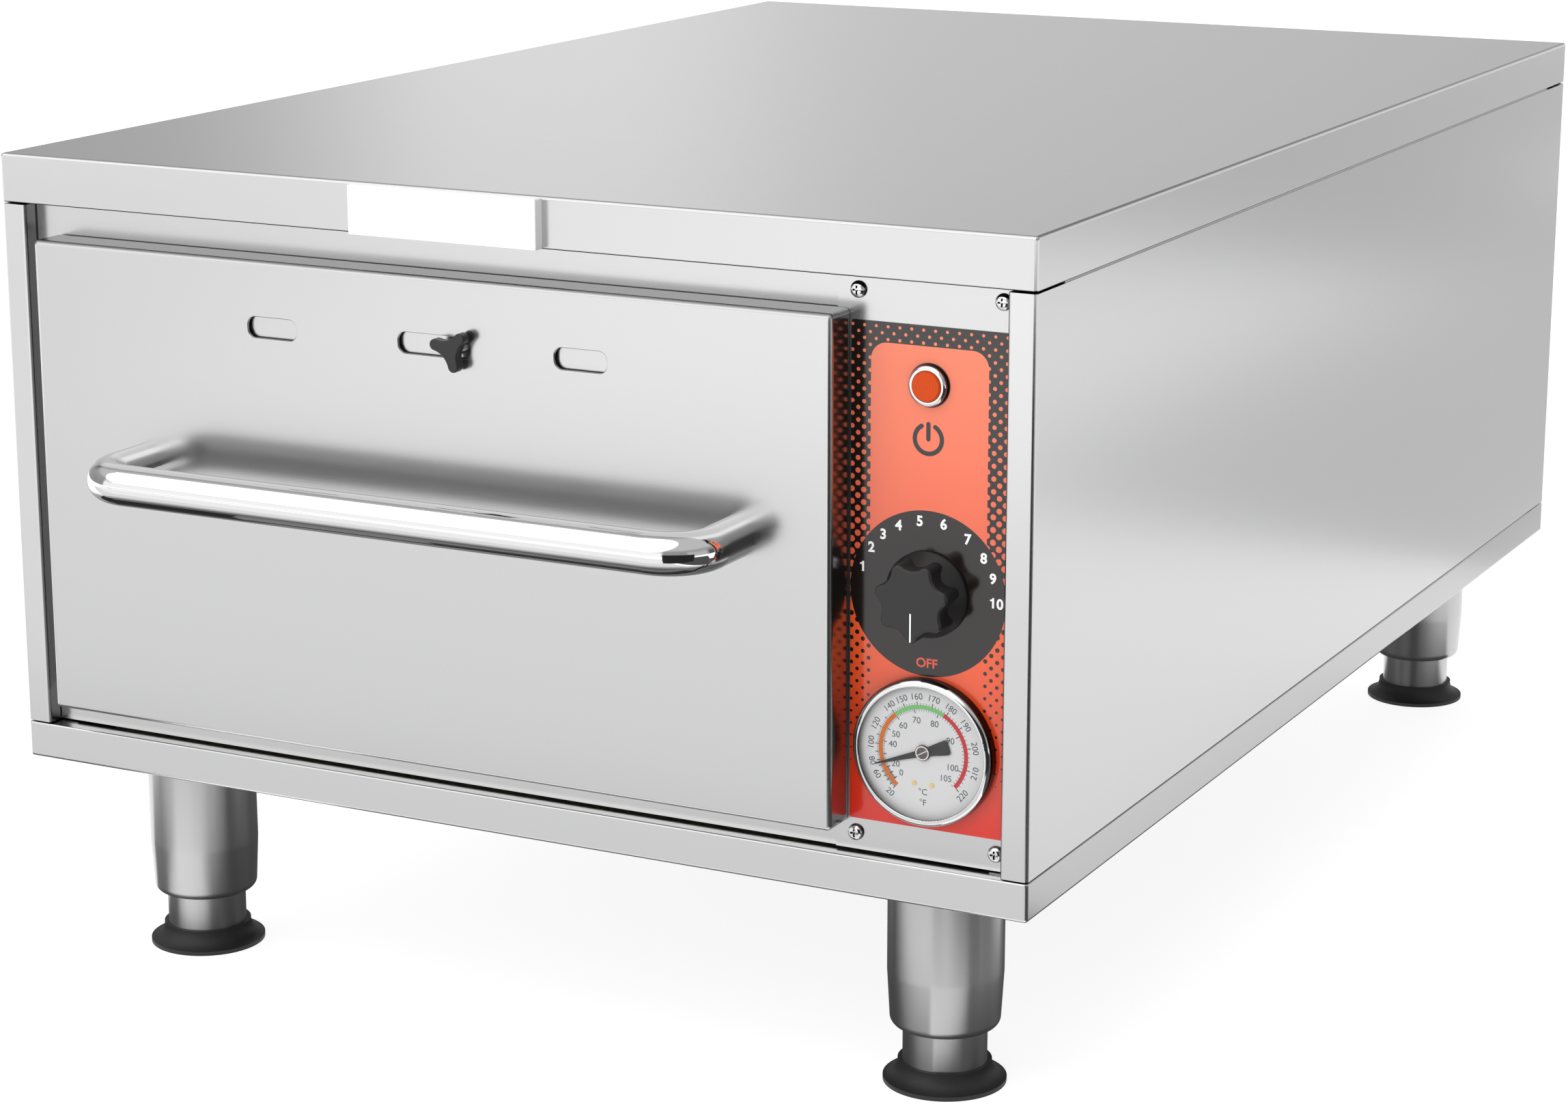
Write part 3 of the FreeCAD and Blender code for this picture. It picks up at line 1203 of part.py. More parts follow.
def leg_boot(x, y):
    """Rubber boot that flares to the floor in a hollow curve."""
    seat = INSERT_D / 2
    lip = seat + BOOT_LIP
    foot = BOOT_D / 2
    edge = BOOT_SOLE / 2
    hollow = BOOT_HEIGHT - edge
    bow = 1 - math.sqrt(0.5)
    points = [Vector(lip, 0, BOOT_HEIGHT), Vector(lip + (foot - lip) * bow, 0, edge + hollow * bow),
              Vector(foot, 0, edge)]
    wire = Part.Wire([
        line((0, 0, 0), (foot, 0, 0)), line((foot, 0, 0), points[2]), Part.Arc(*points[::-1]).toShape(),
        line(points[0], (seat, 0, BOOT_HEIGHT)), line((seat, 0, BOOT_HEIGHT), (seat, 0, BOOT_SOLE)),
        line((seat, 0, BOOT_SOLE), (0, 0, BOOT_SOLE)), line((0, 0, BOOT_SOLE), (0, 0, 0)),
    ])
    boot = Part.Face(wire).revolve(Vector(), Vector(0, 0, 1), 360)
    boot.translate(Vector(x, y, 0))
    return boot


def leg_nut(x, y):
    corner = NUT_FLATS / math.sqrt(3)
    turns = [math.radians(60 * index) for index in range(6)]
    corners = [(x + corner * math.cos(t), y + corner * math.sin(t), 0) for t in turns]
    nut = extruded(corners, "XY", FLOOR_Z, FLOOR_Z + NUT_HEIGHT)
    return nut.cut(rod(STUD_BOLT_D + 2 * NUT_GAP, (x, y, FLOOR_Z - 1), (x, y, FLOOR_Z + NUT_HEIGHT + 1)))


def build_shell():
    left_panel = left_side_panel()
    save("base_pan", base_pan())
    save("left_side_panel", left_panel)
    save("right_side_panel", right_side_panel(left_panel))
    save("rear_panel", rear_panel())
    save("top_cover", top_cover())
    save("badge_plate", badge_plate())
    save("face_frame", face_frame())
    save("cord_bushing", cord_bushing())
    save("terminal_block", terminal_block())


def build_controls():
    save("control_panel", control_panel())
    save("control_overlay", control_overlay())
    save("panel_screws", *panel_screws())
    save("pilot_housing", pilot_housing())
    save("pilot_lens", pilot_lens())
    save("gauge_case", gauge_case())
    save("gauge_bezel", gauge_bezel())
    save("gauge_dial", gauge_dial())
    save("gauge_glass", gauge_glass())
    save("gauge_needle", gauge_needle())
    save("thermostat_body", thermostat_body())
    save("thermostat_shaft", thermostat_shaft())
    save("thermostat_knob", thermostat_knob())
    save("thermostat_bulb", thermostat_bulb())


def build_cavity():
    save("cavity_wrap", cavity_wrap())
    save("cavity_floor", cavity_floor())
    save("cavity_back", cavity_back())
    save("insulation_wrap", insulation_wrap())
    save("insulation_back", insulation_back())
    save("heating_element", heating_element())
    save("element_supports", *element_supports())


def build_drawer():
    right_hand = {
        "cabinet_rail": cabinet_rail(),
        "front_roller": roller(FRONT_ROLLER_Y),
        "rear_roller": roller(REAR_ROLLER_Y),
        "drawer_runner": drawer_runner(),
    }
    for name, piece in right_hand.items():
        save(f"right_{name}", piece)
        save(f"left_{name}", mirrored(piece, CAVITY_X))
    save("pan_crossbar", pan_crossbar())
    save("food_pan", food_pan())
    save("drawer_front", drawer_front())
    save("drawer_back_plate", drawer_back_plate())
    save("drawer_insulation", drawer_insulation())
    save("drawer_handle", drawer_handle())
    save("handle_bolts", *[handle_bolt(x) for x in handle_places()])
    save("vent_slide", vent_slide())
    save("vent_knob", vent_knob())


def build_legs():
    for name, x, y in leg_places():
        save(f"leg_sleeve_{name}", leg_sleeve(x, y))
        save(f"leg_insert_{name}", leg_insert(x, y))
        save(f"leg_boot_{name}", leg_boot(x, y))
    save("leg_nuts", *[leg_nut(x, y) for _, x, y in leg_places()])


os.makedirs("parts", exist_ok=True)
build_shell()
build_controls()
build_cavity()
build_drawer()
build_legs()
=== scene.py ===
import math

import bmesh
import bpy
from mathutils import Euler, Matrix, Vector


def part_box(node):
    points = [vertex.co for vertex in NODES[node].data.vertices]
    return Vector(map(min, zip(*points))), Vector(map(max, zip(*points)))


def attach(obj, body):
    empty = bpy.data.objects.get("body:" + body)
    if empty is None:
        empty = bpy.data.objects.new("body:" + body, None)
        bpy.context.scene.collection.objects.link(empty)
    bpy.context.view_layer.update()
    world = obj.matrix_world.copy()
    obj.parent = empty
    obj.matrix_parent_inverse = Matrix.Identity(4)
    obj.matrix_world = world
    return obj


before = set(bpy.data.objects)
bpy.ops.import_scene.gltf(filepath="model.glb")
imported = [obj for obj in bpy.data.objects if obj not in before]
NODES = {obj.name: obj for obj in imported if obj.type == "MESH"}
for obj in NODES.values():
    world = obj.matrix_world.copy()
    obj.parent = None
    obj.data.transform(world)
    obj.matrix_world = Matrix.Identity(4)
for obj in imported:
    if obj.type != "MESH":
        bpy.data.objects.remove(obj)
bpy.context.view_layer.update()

MM = 0.001

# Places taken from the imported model
OVERLAY_LOW, OVERLAY_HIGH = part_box("control_overlay")
OVERLAY_Y = OVERLAY_LOW.y
GAUGE_LOW, GAUGE_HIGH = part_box("gauge_bezel")
GAUGE = (GAUGE_LOW + GAUGE_HIGH) / 2
DIAL_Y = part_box("gauge_dial")[0].y
KNOB_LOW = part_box("thermostat_knob")[0]
SHAFT = sum(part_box("thermostat_shaft"), Vector()) / 2
PILOT = sum(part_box("pilot_lens"), Vector()) / 2

# Body and material slot of the pieces printed on the film and on the thermometer's dial
FILM = ("cabinet", "overlay_film")
DIAL = ("cabinet", "dial_white")

# Printed film: thickness of the inks, the fields, the dots that fade between them, and how far dots lap an edge
PRINT = 0.03 * MM
INSET_INK = 1.5 * PRINT
DISC_INK = 2.0 * PRINT
INSET_HALF = 27.3 * MM
INSET_TOP = OVERLAY_HIGH.z - 8.8 * MM
INSET_CORNER = 7.5 * MM
DISC_RADIUS = 36.5 * MM
FIELD_Z = SHAFT.z - 8.0 * MM
DOT_START = 0.6 * MM
DOT_PITCH = 5.5 * MM
DOT_SIDES = 16
DOTS_TOP = OVERLAY_HIGH.z - 2.0 * MM
DOTS_BOTTOM = GAUGE.z - 12.0 * MM
DOT_LAP = 1.0 * MM
INSET_LAP = 1.5 * MM
DISC_LAP = 2.0 * MM
ORANGE_DOT = 0.68 * MM
ORANGE_GROWTH = 0.9 * MM
DARK_DOT = 1.3 * MM
DARK_LOSS = 0.85 * MM

# Figures on the film, by angle counter-clockwise from the right. Weights, shifts and the 1 are shares of the height.
DIAL_NUMBERS = {"1": 164, "2": 146, "3": 131, "4": 115.5, "5": 97, "6": 77, "7": 55, "8": 36, "9": 19, "10": -0.5}
NUMBER_RADIUS = 32.1 * MM
NUMBER_HEIGHT = 4.5 * MM
NUMBER_WEIGHT = 0.045
ONE_SHIFT = 0.42
ZERO_SHIFT = 0.36
ONE_OUTLINE = [(-0.03, -0.5), (0.18, -0.5), (0.18, 0.5), (0.02, 0.5), (-0.06, 0.36), (-0.24, 0.31), (-0.24, 0.18),
               (-0.03, 0.18)]
CAPITAL_HEIGHT = 0.73
WELD = PRINT / 10
OFF_DROP = 30.4 * MM
OFF_HEIGHT = 4.2 * MM
OFF_WEIGHT = 0.03
POWER_SHIFT = 0.3 * MM
POWER_DROP = 23.2 * MM
POWER_RADIUS = 6.3 * MM
POWER_STROKE = 2.0 * MM
POWER_BAR = 6.5 * MM
POWER_OPENING = 60.0

# White line on the thermostat knob
POINTER_HALF = 0.35 * MM
POINTER_TOP = SHAFT.z - 4.6 * MM
POINTER_BOTTOM = KNOB_LOW.z + 1.9 * MM

# Thermometer face: its centre, the figures by angle, counter-clockwise from the right, and what each scale marks
FACE = (GAUGE.x, GAUGE.z)
OUTER_FIGURES = {"20": 232, "60": 210, "80": 196, "100": 177, "120": 156, "140": 131, "150": 115, "160": 98,
                 "170": 79, "180": 59, "190": 37, "200": 12, "210": -14, "220": -42}
INNER_FIGURES = {"0": 225, "20": 207, "40": 172, "50": 153, "60": 131, "70": 103, "80": 69, "90": 29,
                 "100": -19, "105": -43}
OUTER_SCALE = range(20, 221, 2)
INNER_SCALE = range(0, 106)
BANDS = {"cool": (233, 131), "holding": (131, 62), "hot": (62, -42)}
OUTER_RADIUS = 25.0 * MM
INNER_RADIUS = 14.6 * MM
BAND_INNER = 19.3 * MM
BAND_OUTER = 21.2 * MM
FIGURE_HEIGHT = 2.9 * MM
LONG_TICK = 0.4 * MM
SHORT_TICK = 0.2 * MM
OUTER_REACH = 1.6 * MM
INNER_REACH = 1.7 * MM
SHORT_REACH = 0.9 * MM
UNIT_DROPS = {"°C": 17.6 * MM, "°F": 22.4 * MM}
RIVETS = {"left": -4.2 * MM, "right": 4.2 * MM}
RIVET_DROP = 14.2 * MM
RIVET_RADIUS = 1.1 * MM
RIVET_HEIGHT = 0.3 * MM
HUB_RADIUS = 3.2 * MM
HUB_HEIGHT = 0.08 * MM
HUB_FACE = 0.82 * HUB_RADIUS
HUB_SLOT = 0.75 * HUB_RADIUS
HUB_SLOT_CORNERS = (205, 215, 25, 35)

# Thin black ring around the pilot light, that draws a dark outline round it
DARK_RING_LIP = 0.6 * MM
DARK_RING_THICK = 2.0 * PRINT

# Steps along the curved outlines
CORNER_STEPS = 10
DISC_STEPS = 96
RING_STEPS = 48
END_STEPS = 8
BAND_STEPS = 40
RIVET_STEPS = 24
HUB_STEPS = 40
DARK_RING_STEPS = 32

# Camera, solved from the photograph's straight edges
CAMERA_PLACE = (0.85541, -1.74421, 0.64588)
CAMERA_TURN = (75.7596, 0.0, 27.0903)
CAMERA_LENS = 85.153
CAMERA_SENSOR = 36.0

# Studio light
FILL_LEFT = 1.6
FILL_RIGHT = 0.28
FLOOR_GLOW = 0.86
FLOOR_TONE = 0.3
FLOOR_ROUGHNESS = 0.7
FLOOR_HALF = 12.0
CEILING_ENERGY = 1.0
CEILING_SPREAD = 75.0
CEILING_AIM = (0.3, 0.7, -1.0)

# Studio walls as bright metal mirrors them: tone by azimuth in degrees, counter-clockwise from +X
LOW_WALL = [(-180, 0.3), (-150, 0.3), (-146, 1.0), (-80, 1.1), (-76, 0.3), (-36, 0.3), (-32, 0.5), (2, 0.5), (8, 0.1),
            (34, 0.1), (40, 0.9), (80, 0.9), (90, 0.65), (104, 0.62), (116, 0.75), (119, 0.98), (122.5, 0.98),
            (126, 0.55), (134, 0.4), (180, 0.3)]
HIGH_WALL = [(-180, 0.35), (-152, 0.35), (-146, 0.7), (-80, 0.7), (-74, 0.35), (60, 0.35), (75, 0.12), (150, 0.12),
             (165, 0.35), (180, 0.35)]
WALL_RISE = (0.2, 0.4)
SKY_RISE = (0.42, 0.54)
SKY = 0.55

# Cards that bright metal mirrors: mats on the floor, each with two corners and its tone, and one that stands
MAT_LIFT = 2.0 * MM
MATS = {
    # Painted shade: the dark mat under the object stands for the floor's shade there, seen only in the metal
    "under_shade_mat": ((-0.27, -0.36), (0.34, 0.4), 0.05),
    "left_mat": ((-0.5, -0.48), (-0.271, -0.3), 0.14),
    "front_mat": ((-0.15, -0.42), (0.2, -0.361), 0.25),
    "skirt_mat": ((-1.3, -0.75), (0.3, -0.49), 0.8),
    "low_mat": ((-1.3, -1.5), (0.3, -0.751), 0.96),
    "far_left_mat": ((-2.6, -2.9), (-1.15, -1.51), 0.92),
    "side_mat": ((0.36, 0.7), (0.8, 2.4), 0.72),
    "far_mat": ((0.81, 1.8), (2.5, 4.5), 0.6),
    "right_mat": ((0.36, -1.4), (1.8, -0.3), 0.08),
    "leg_mat": ((0.36, -0.299), (0.75, -0.1), 0.08),
}
CARD_START = (0.2, -0.78)
CARD_END = (0.6, -0.6)
CARD_HEIGHT = 0.31
CARD_TONE = 0.02

# Surfaces: where most of a noise's values lie, then each texture's scale, how far it swings the gloss, and its relief
NOISE_RANGE = (0.3, 0.7)
BRUSH_SCALE = 2600.0
BRUSH_SWING = 0.01
BRUSH_RELIEF = 0.005
BRUSH_DEPTH = 0.01 * MM
SMEAR_SCALE = 40.0
SMEAR_STRETCH = (1.0, 1.0, 3.0)
SMEAR_SWING = (0.7, 1.4)
SKIN_SCALE = 1500.0
SKIN_SWING = 0.05
SKIN_DEPTH = 0.05 * MM
FILM_ROUGHNESS = 0.13
FILM_IOR = 1.7
RING_SCALE = 240.0
RING_RELIEF = 0.6
RING_DEPTH = 0.2 * MM
BLUE_CAST = 1.004
EVEN = (1.0, 1.0, 1.0)
WHITE = (1.0, 1.0, 1.0)
BLACK = (0.0, 0.0, 0.0)


# Materials

def shader_of(made):
    """A material's main shader."""
    return made.node_tree.nodes["Principled BSDF"]


def material(name, colour, metallic=0.0, roughness=0.5):
    """New node material with its shader's constants set."""
    made = bpy.data.materials.new(name)
    made.use_nodes = True
    shader = shader_of(made)
    shader.inputs["Base Color"].default_value = (*colour, 1.0)
    shader.inputs["Metallic"].default_value = metallic
    shader.inputs["Roughness"].default_value = roughness
    return made


def glow(made, colour, strength):
    """Let a surface shine by itself."""
    shader = shader_of(made)
    shader.inputs["Emission Color"].default_value = (*colour, 1.0)
    shader.inputs["Emission Strength"].default_value = strength


def node(made, kind, **settings):
    """New node in a material or world."""
    added = made.node_tree.nodes.new(kind)
    for key, value in settings.items():
        setattr(added, key, value)
    return added


def join(made, output, target):
    """Link two sockets of a material or world."""
    made.node_tree.links.new(output, target)


def grain(made, stretch, scale, detail=4.0):
    """Noise drawn out along the directions where stretch is small."""
    where = node(made, "ShaderNodeTexCoord")
    turn = node(made, "ShaderNodeMapping")
    turn.inputs["Scale"].default_value = stretch
    noise = node(made, "ShaderNodeTexNoise")
    noise.inputs["Scale"].default_value = scale
    noise.inputs["Detail"].default_value = detail
    join(made, where.outputs["Object"], turn.inputs["Vector"])
    join(made, turn.outputs["Vector"], noise.inputs["Vector"])
    return noise.outputs["Fac"]


def rise(made, value, low, high):
    """Map-range node from low and high, to 0 and 1 unless the caller sets other ends."""
    ranged = node(made, "ShaderNodeMapRange")
    ranged.inputs["From Min"].default_value = low
    ranged.inputs["From Max"].default_value = high
    join(made, value, ranged.inputs["Value"])
    return ranged


def gloss(made, noise, low, high):
    """Let a noise swing the roughness between two values."""
    ranged = rise(made, noise, *NOISE_RANGE)
    ranged.inputs["To Min"].default_value = low
    ranged.inputs["To Max"].default_value = high
    join(made, ranged.outputs["Result"], shader_of(made).inputs["Roughness"])


def bump(made, height, strength, distance):
    """Raise the surface by a height value."""
    raised = node(made, "ShaderNodeBump")
    raised.inputs["Strength"].default_value = strength
    raised.inputs["Distance"].default_value = distance
    join(made, height, raised.inputs["Height"])
    join(made, raised.outputs["Normal"], shader_of(made).inputs["Normal"])


def grey(tone):
    """Steel's colour at a given lightness."""
    return tone, tone, BLUE_CAST * tone


def paint_light_by_facing(made, base, painted_layers):
    """Paint light and shade into a surface's tone by the way it faces: each layer has an axis, where it starts and is
    full, and its painted tone.
    """
    if not painted_layers:
        return
    where = node(made, "ShaderNodeTexCoord")
    apart = node(made, "ShaderNodeSeparateXYZ")
    join(made, where.outputs["Normal"], apart.inputs["Vector"])
    under = None
    for axis, starts, full, tone in painted_layers:
        turned = rise(made, apart.outputs[axis], starts, full)
        mix = node(made, "ShaderNodeMix", data_type="RGBA")
        mix.inputs["A"].default_value = (*grey(base), 1.0)
        mix.inputs["B"].default_value = (*grey(tone), 1.0)
        join(made, turned.outputs["Result"], mix.inputs["Factor"])
        if under:
            join(made, under, mix.inputs["A"])
        under = mix.outputs["Result"]
    join(made, under, shader_of(made).inputs["Base Color"])


def brushed(name, tone, roughness, stretch, painted_layers=()):
    """Stainless sheet: fine drawn-out grain in its gloss, a slight relief, and painted light and shade by the way its
    faces turn, where layers are given.
    """
    made = material(name, grey(tone), 1.0, roughness)
    lines = grain(made, stretch, BRUSH_SCALE)
    gloss(made, lines, roughness - BRUSH_SWING, roughness + BRUSH_SWING)
    bump(made, lines, BRUSH_RELIEF, BRUSH_DEPTH)
    paint_light_by_facing(made, tone, painted_layers)
    return made


def polished(name, colour, roughness, painted_layers=()):
    """Bright metal with faint wiping marks in its gloss, and painted light and shade by the way its faces turn, where
    layers are given.
    """
    made = material(name, colour, 1.0, roughness)
    smears = grain(made, SMEAR_STRETCH, SMEAR_SCALE, detail=3.0)
    gloss(made, smears, *(roughness * swing for swing in SMEAR_SWING))
    paint_light_by_facing(made, colour[0], painted_layers)
    return made


def turned_steel(name, tone, roughness):
    """Steel turned on a lathe: its rings draw reflections out upright."""
    made = brushed(name, tone, roughness, AROUND_Z)
    shader = shader_of(made)
    shader.inputs["Anisotropic"].default_value = 0.8
    shader.inputs["Anisotropic Rotation"].default_value = 0.25
    around = node(made, "ShaderNodeTangent", direction_type="RADIAL", axis="Z")
    join(made, around.outputs["Tangent"], shader.inputs["Tangent"])
    return made


def moulded(name, tone, roughness, relief=0.05):
    """Plastic or rubber with a fine moulded texture."""
    made = material(name, tone, 0.0, roughness)
    skin = grain(made, EVEN, SKIN_SCALE, detail=2.0)
    gloss(made, skin, roughness - SKIN_SWING, roughness + SKIN_SWING)
    bump(made, skin, relief, SKIN_DEPTH)
    return made


def ramp(made, value, stops):
    """Colour of a value through (position, colour) stops."""
    colours = node(made, "ShaderNodeValToRGB")
    elements = colours.color_ramp.elements
    while len(elements) < len(stops):
        elements.new(1.0)
    for element, (position, colour) in zip(elements, stops):
        element.position = position
        element.color = (*colour, 1.0)
    join(made, value, colours.inputs["Fac"])
    return colours.outputs["Color"]


def printed(name, stops):
    """Ink under glossy film, coloured by its height up the column through (height, colour) stops."""
    made = material(name, stops[-1][1], 0.0, FILM_ROUGHNESS)
    shader = shader_of(made)
    shader.inputs["IOR"].default_value = FILM_IOR
    where = node(made, "ShaderNodeTexCoord")
    apart = node(made, "ShaderNodeSeparateXYZ")
    join(made, where.outputs["Object"], apart.inputs["Vector"])
    height = rise(made, apart.outputs["Z"], OVERLAY_LOW.z, OVERLAY_HIGH.z)
    join(made, ramp(made, height.outputs["Result"], stops), shader.inputs["Base Color"])
    return made


def clear_glass(name):
    """Thin flat glass that hardly bends what is seen through it."""
    made = material(name, WHITE, 0.0, 0.02)
    shader = shader_of(made)
    shader.inputs["Transmission Weight"].default_value = 1.0
    shader.inputs["IOR"].default_value = 1.02
    shader.inputs["Specular IOR Level"].default_value = 0.6
    return made


def lens(name, tone):
    """Coloured plastic, moulded in rings, that glows a little from behind."""
    made = material(name, tone, 0.0, 0.3)
    shader_of(made).inputs["Specular IOR Level"].default_value = 0.15
    glow(made, tone, 0.1)
    where = node(made, "ShaderNodeTexCoord")
    centred = node(made, "ShaderNodeMapping")
    centred.inputs["Location"].default_value = -PILOT
    rings = node(made, "ShaderNodeTexWave", wave_type="RINGS", rings_direction="Y")
    rings.inputs["Scale"].default_value = RING_SCALE
    join(made, where.outputs["Object"], centred.inputs["Vector"])
    join(made, centred.outputs["Vector"], rings.inputs["Vector"])
    bump(made, rings.outputs["Fac"], RING_RELIEF, RING_DEPTH)
    return made


# Inks of the film, and its two fields: red that turns orange up to the field's line, then charcoal
RED = (0.7, 0.03, 0.005)
ORANGE = (0.87, 0.2, 0.096)
LOW_RED = (0.64, 0.012, 0.002)
LOW_ORANGE = (0.86, 0.12, 0.03)
CHARCOAL = (0.011, 0.007, 0.006)
FIELD_RISE = (FIELD_Z - OVERLAY_LOW.z) / (OVERLAY_HIGH.z - OVERLAY_LOW.z)
FIELD_EDGE = 0.001
FIELDS = [(0.0, LOW_RED), (FIELD_RISE, LOW_ORANGE), (FIELD_RISE + FIELD_EDGE, CHARCOAL), (1.0, CHARCOAL)]

# Ways that a grain is drawn out
ALONG_X = (0.02, 1.0, 1.0)
ALONG_Y = (1.0, 0.02, 1.0)
AROUND_Z = (0.02, 0.02, 1.0)

# Tone and gloss of sheet steel, and painted light and shade on faces by the way they turn: axis, where the tone
# starts and is full, tone
STEEL = 0.66
SHEET = 0.21
# Painted shade on the drawer front: its up-facing flange and its sides darker
FLANGE_SHADE = [("Z", 0.25, 0.7, 0.24), ("X", 0.5, 0.9, 0.42)]
# Painted light on the posts' front faces, lighter than their sides, and painted shade on the side panels' faces
# inside the opening
POST_FRONT_LIGHT = ("Y", -0.4, -0.8, 0.7)
LEFT_PAINTED_SHADING = [POST_FRONT_LIGHT, ("X", 0.3, 0.6, 0.2)]
RIGHT_PAINTED_SHADING = [POST_FRONT_LIGHT, ("X", -0.3, -0.6, 0.2)]
# Painted shade on the top cover's top and side and on the base pan's side, and a painted dark line along the
# underside of the top cover's hem
TOP_FACE_SHADE = ("Z", 0.5, 0.9, 0.6)
TOP_SIDE_SHADE = ("X", 0.5, 0.9, 0.6)
BASE_SIDE_SHADE = ("X", 0.5, 0.9, 0.48)
HEM_SHADE = ("Z", -0.15, -0.5, 0.04)
# Painted reflection and shade on the handle: its top darker, and its back and underside much darker
GRIP_SHADE = [("Z", 0.8, 0.88, 0.6), ("Y", 0.05, 0.35, 0.3), ("Z", -0.3, -0.45, 0.12)]
# Painted light and shade on domed chrome: the metal is near black and only faces turned to the front or back are
# painted bright, so its rims are painted dark
DOME_RIM_SHADE = [("Y", -0.25, -0.7, 0.8), ("Y", 0.25, 0.7, 0.8)]

# Each material's maker and what it is given after the name
RECIPES = {
    "steel_front": (brushed, STEEL, SHEET, ALONG_X),
    "steel_drawer": (brushed, STEEL, SHEET, ALONG_X, FLANGE_SHADE),
    # Painted shade and light: the left and right panels are the same steel made darker, and the base pan the same
    # steel made lighter
    "steel_left": (brushed, 0.55, SHEET, ALONG_Y, LEFT_PAINTED_SHADING),
    "steel_right": (brushed, 0.57, SHEET, ALONG_Y, RIGHT_PAINTED_SHADING),
    "steel_top": (brushed, STEEL, SHEET, ALONG_Y, [TOP_FACE_SHADE, TOP_SIDE_SHADE, HEM_SHADE]),
    "steel_base": (brushed, 0.72, SHEET, ALONG_Y, [BASE_SIDE_SHADE]),
    "steel_inner": (brushed, 0.7, 0.32, ALONG_Y),
    "zinc": (brushed, 0.61, 0.36, EVEN),
    "leg_steel": (turned_steel, 0.58, 0.3),
    # The handle's polish carries painted reflection and shade on its top, back and underside
    "polish": (polished, grey(0.87), 0.05, GRIP_SHADE),
    # Domed chrome is near black, with painted light on the faces turned to the front or back
    "domed": (polished, grey(0.02), 0.09, DOME_RIM_SHADE),
    "black": (moulded, (0.016, 0.016, 0.017), 0.36),
    "rubber": (moulded, (0.016, 0.016, 0.017), 0.55, 0.12),
    "roller": (moulded, (0.75, 0.73, 0.67), 0.45),
    "badge": (moulded, (0.9, 0.9, 0.9), 0.42, 0.02),
    "face": (moulded, (0.95, 0.95, 0.96), 0.5, 0.01),
    "hub_rim": (polished, (0.75, 0.74, 0.73), 0.2),
    "hub_face": (moulded, (0.16, 0.145, 0.135), 0.4, 0.01),
    "needle": (moulded, (0.06, 0.06, 0.062), 0.4, 0.02),
    "glass": (clear_glass,),
    "lens": (lens, (0.56, 0.06, 0.006)),
    "fibre": (moulded, (0.72, 0.66, 0.45), 0.95, 0.6),
    "sheath": (brushed, 0.22, 0.45, (1.0, 0.05, 1.0)),
    "copper": (polished, (0.75, 0.42, 0.28), 0.22),
    "film": (printed, FIELDS),
    "ink_orange": (printed, [(0.0, RED), (1.0, ORANGE)]),
    "ink_charcoal": (printed, [(0.0, CHARCOAL), (1.0, CHARCOAL)]),
    "ink_white": (moulded, (0.92, 0.92, 0.92), 0.4, 0.01),
    "ink_grey": (moulded, (0.1, 0.105, 0.12), 0.5, 0.01),
    "band_cool": (moulded, (0.86, 0.22, 0.03), 0.45, 0.01),
    "band_holding": (moulded, (0.27, 0.7, 0.25), 0.45, 0.01),
    "band_hot": (moulded, (0.76, 0.06, 0.07), 0.45, 0.01),
    "brass": (polished, (0.83, 0.62, 0.3), 0.25),
}
LOOKS = {name: maker(name, *given) for name, (maker, *given) in RECIPES.items()}

# Nodes that wear each material, by name and by the start of a name
NODE_LOOKS = {
    "steel_front": ["face_frame", "control_panel", "food_pan", "drawer_back_plate", "vent_slide", "rear_panel"],
    "steel_drawer": ["drawer_front"],
    "steel_left": ["left_side_panel"],
    "steel_right": ["right_side_panel"],
    "steel_top": ["top_cover"],
    "steel_base": ["base_pan"],
    "steel_inner": ["cavity_wrap", "cavity_floor", "cavity_back"],
    "zinc": ["left_cabinet_rail", "right_cabinet_rail", "left_drawer_runner", "right_drawer_runner",
             "pan_crossbar", "handle_bolts", "leg_nuts", "gauge_case", "thermostat_shaft", "element_supports"],
    "polish": ["drawer_handle"],
    "domed": ["pilot_housing", "panel_screws", "gauge_bezel"],
    "black": ["thermostat_knob", "vent_knob", "cord_bushing", "thermostat_body", "terminal_block"],
    "badge": ["badge_plate"],
    "face": ["gauge_dial"],
    "needle": ["gauge_needle"],
    "glass": ["gauge_glass"],
    "lens": ["pilot_lens"],
    "fibre": ["insulation_wrap", "insulation_back", "drawer_insulation"],
    "sheath": ["heating_element"],
    "copper": ["thermostat_bulb"],
    "film": ["control_overlay"],
}
PREFIX_LOOKS = {"leg_sleeve_": "leg_steel", "leg_insert_": "leg_steel", "leg_boot_": "rubber"}


def dress_nodes():
    """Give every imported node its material."""
    chosen = {name: look for look, names in NODE_LOOKS.items() for name in names}
    for name, thing in NODES.items():
        look = chosen.get(name)
        for prefix, prefix_look in PREFIX_LOOKS.items():
            look = prefix_look if name.startswith(prefix) else look
        look = "roller" if name.endswith("_roller") else look
        thing.data.materials.clear()
        thing.data.materials.append(LOOKS[look])


# Flat printed pieces, drawn as (x, z) loops and given a film's thickness towards the user

def placed(name, data):
    """New object in the scene."""
    thing = bpy.data.objects.new(name, data)
    bpy.context.scene.collection.objects.link(thing)
    return thing


def add_piece(name, mesh, look, body):
    """Make a mesh a piece of the object, on its body and with its material."""
    mesh.materials.clear()
    mesh.materials.append(LOOKS[look])
    piece = placed(name, mesh)
    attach(piece, body)


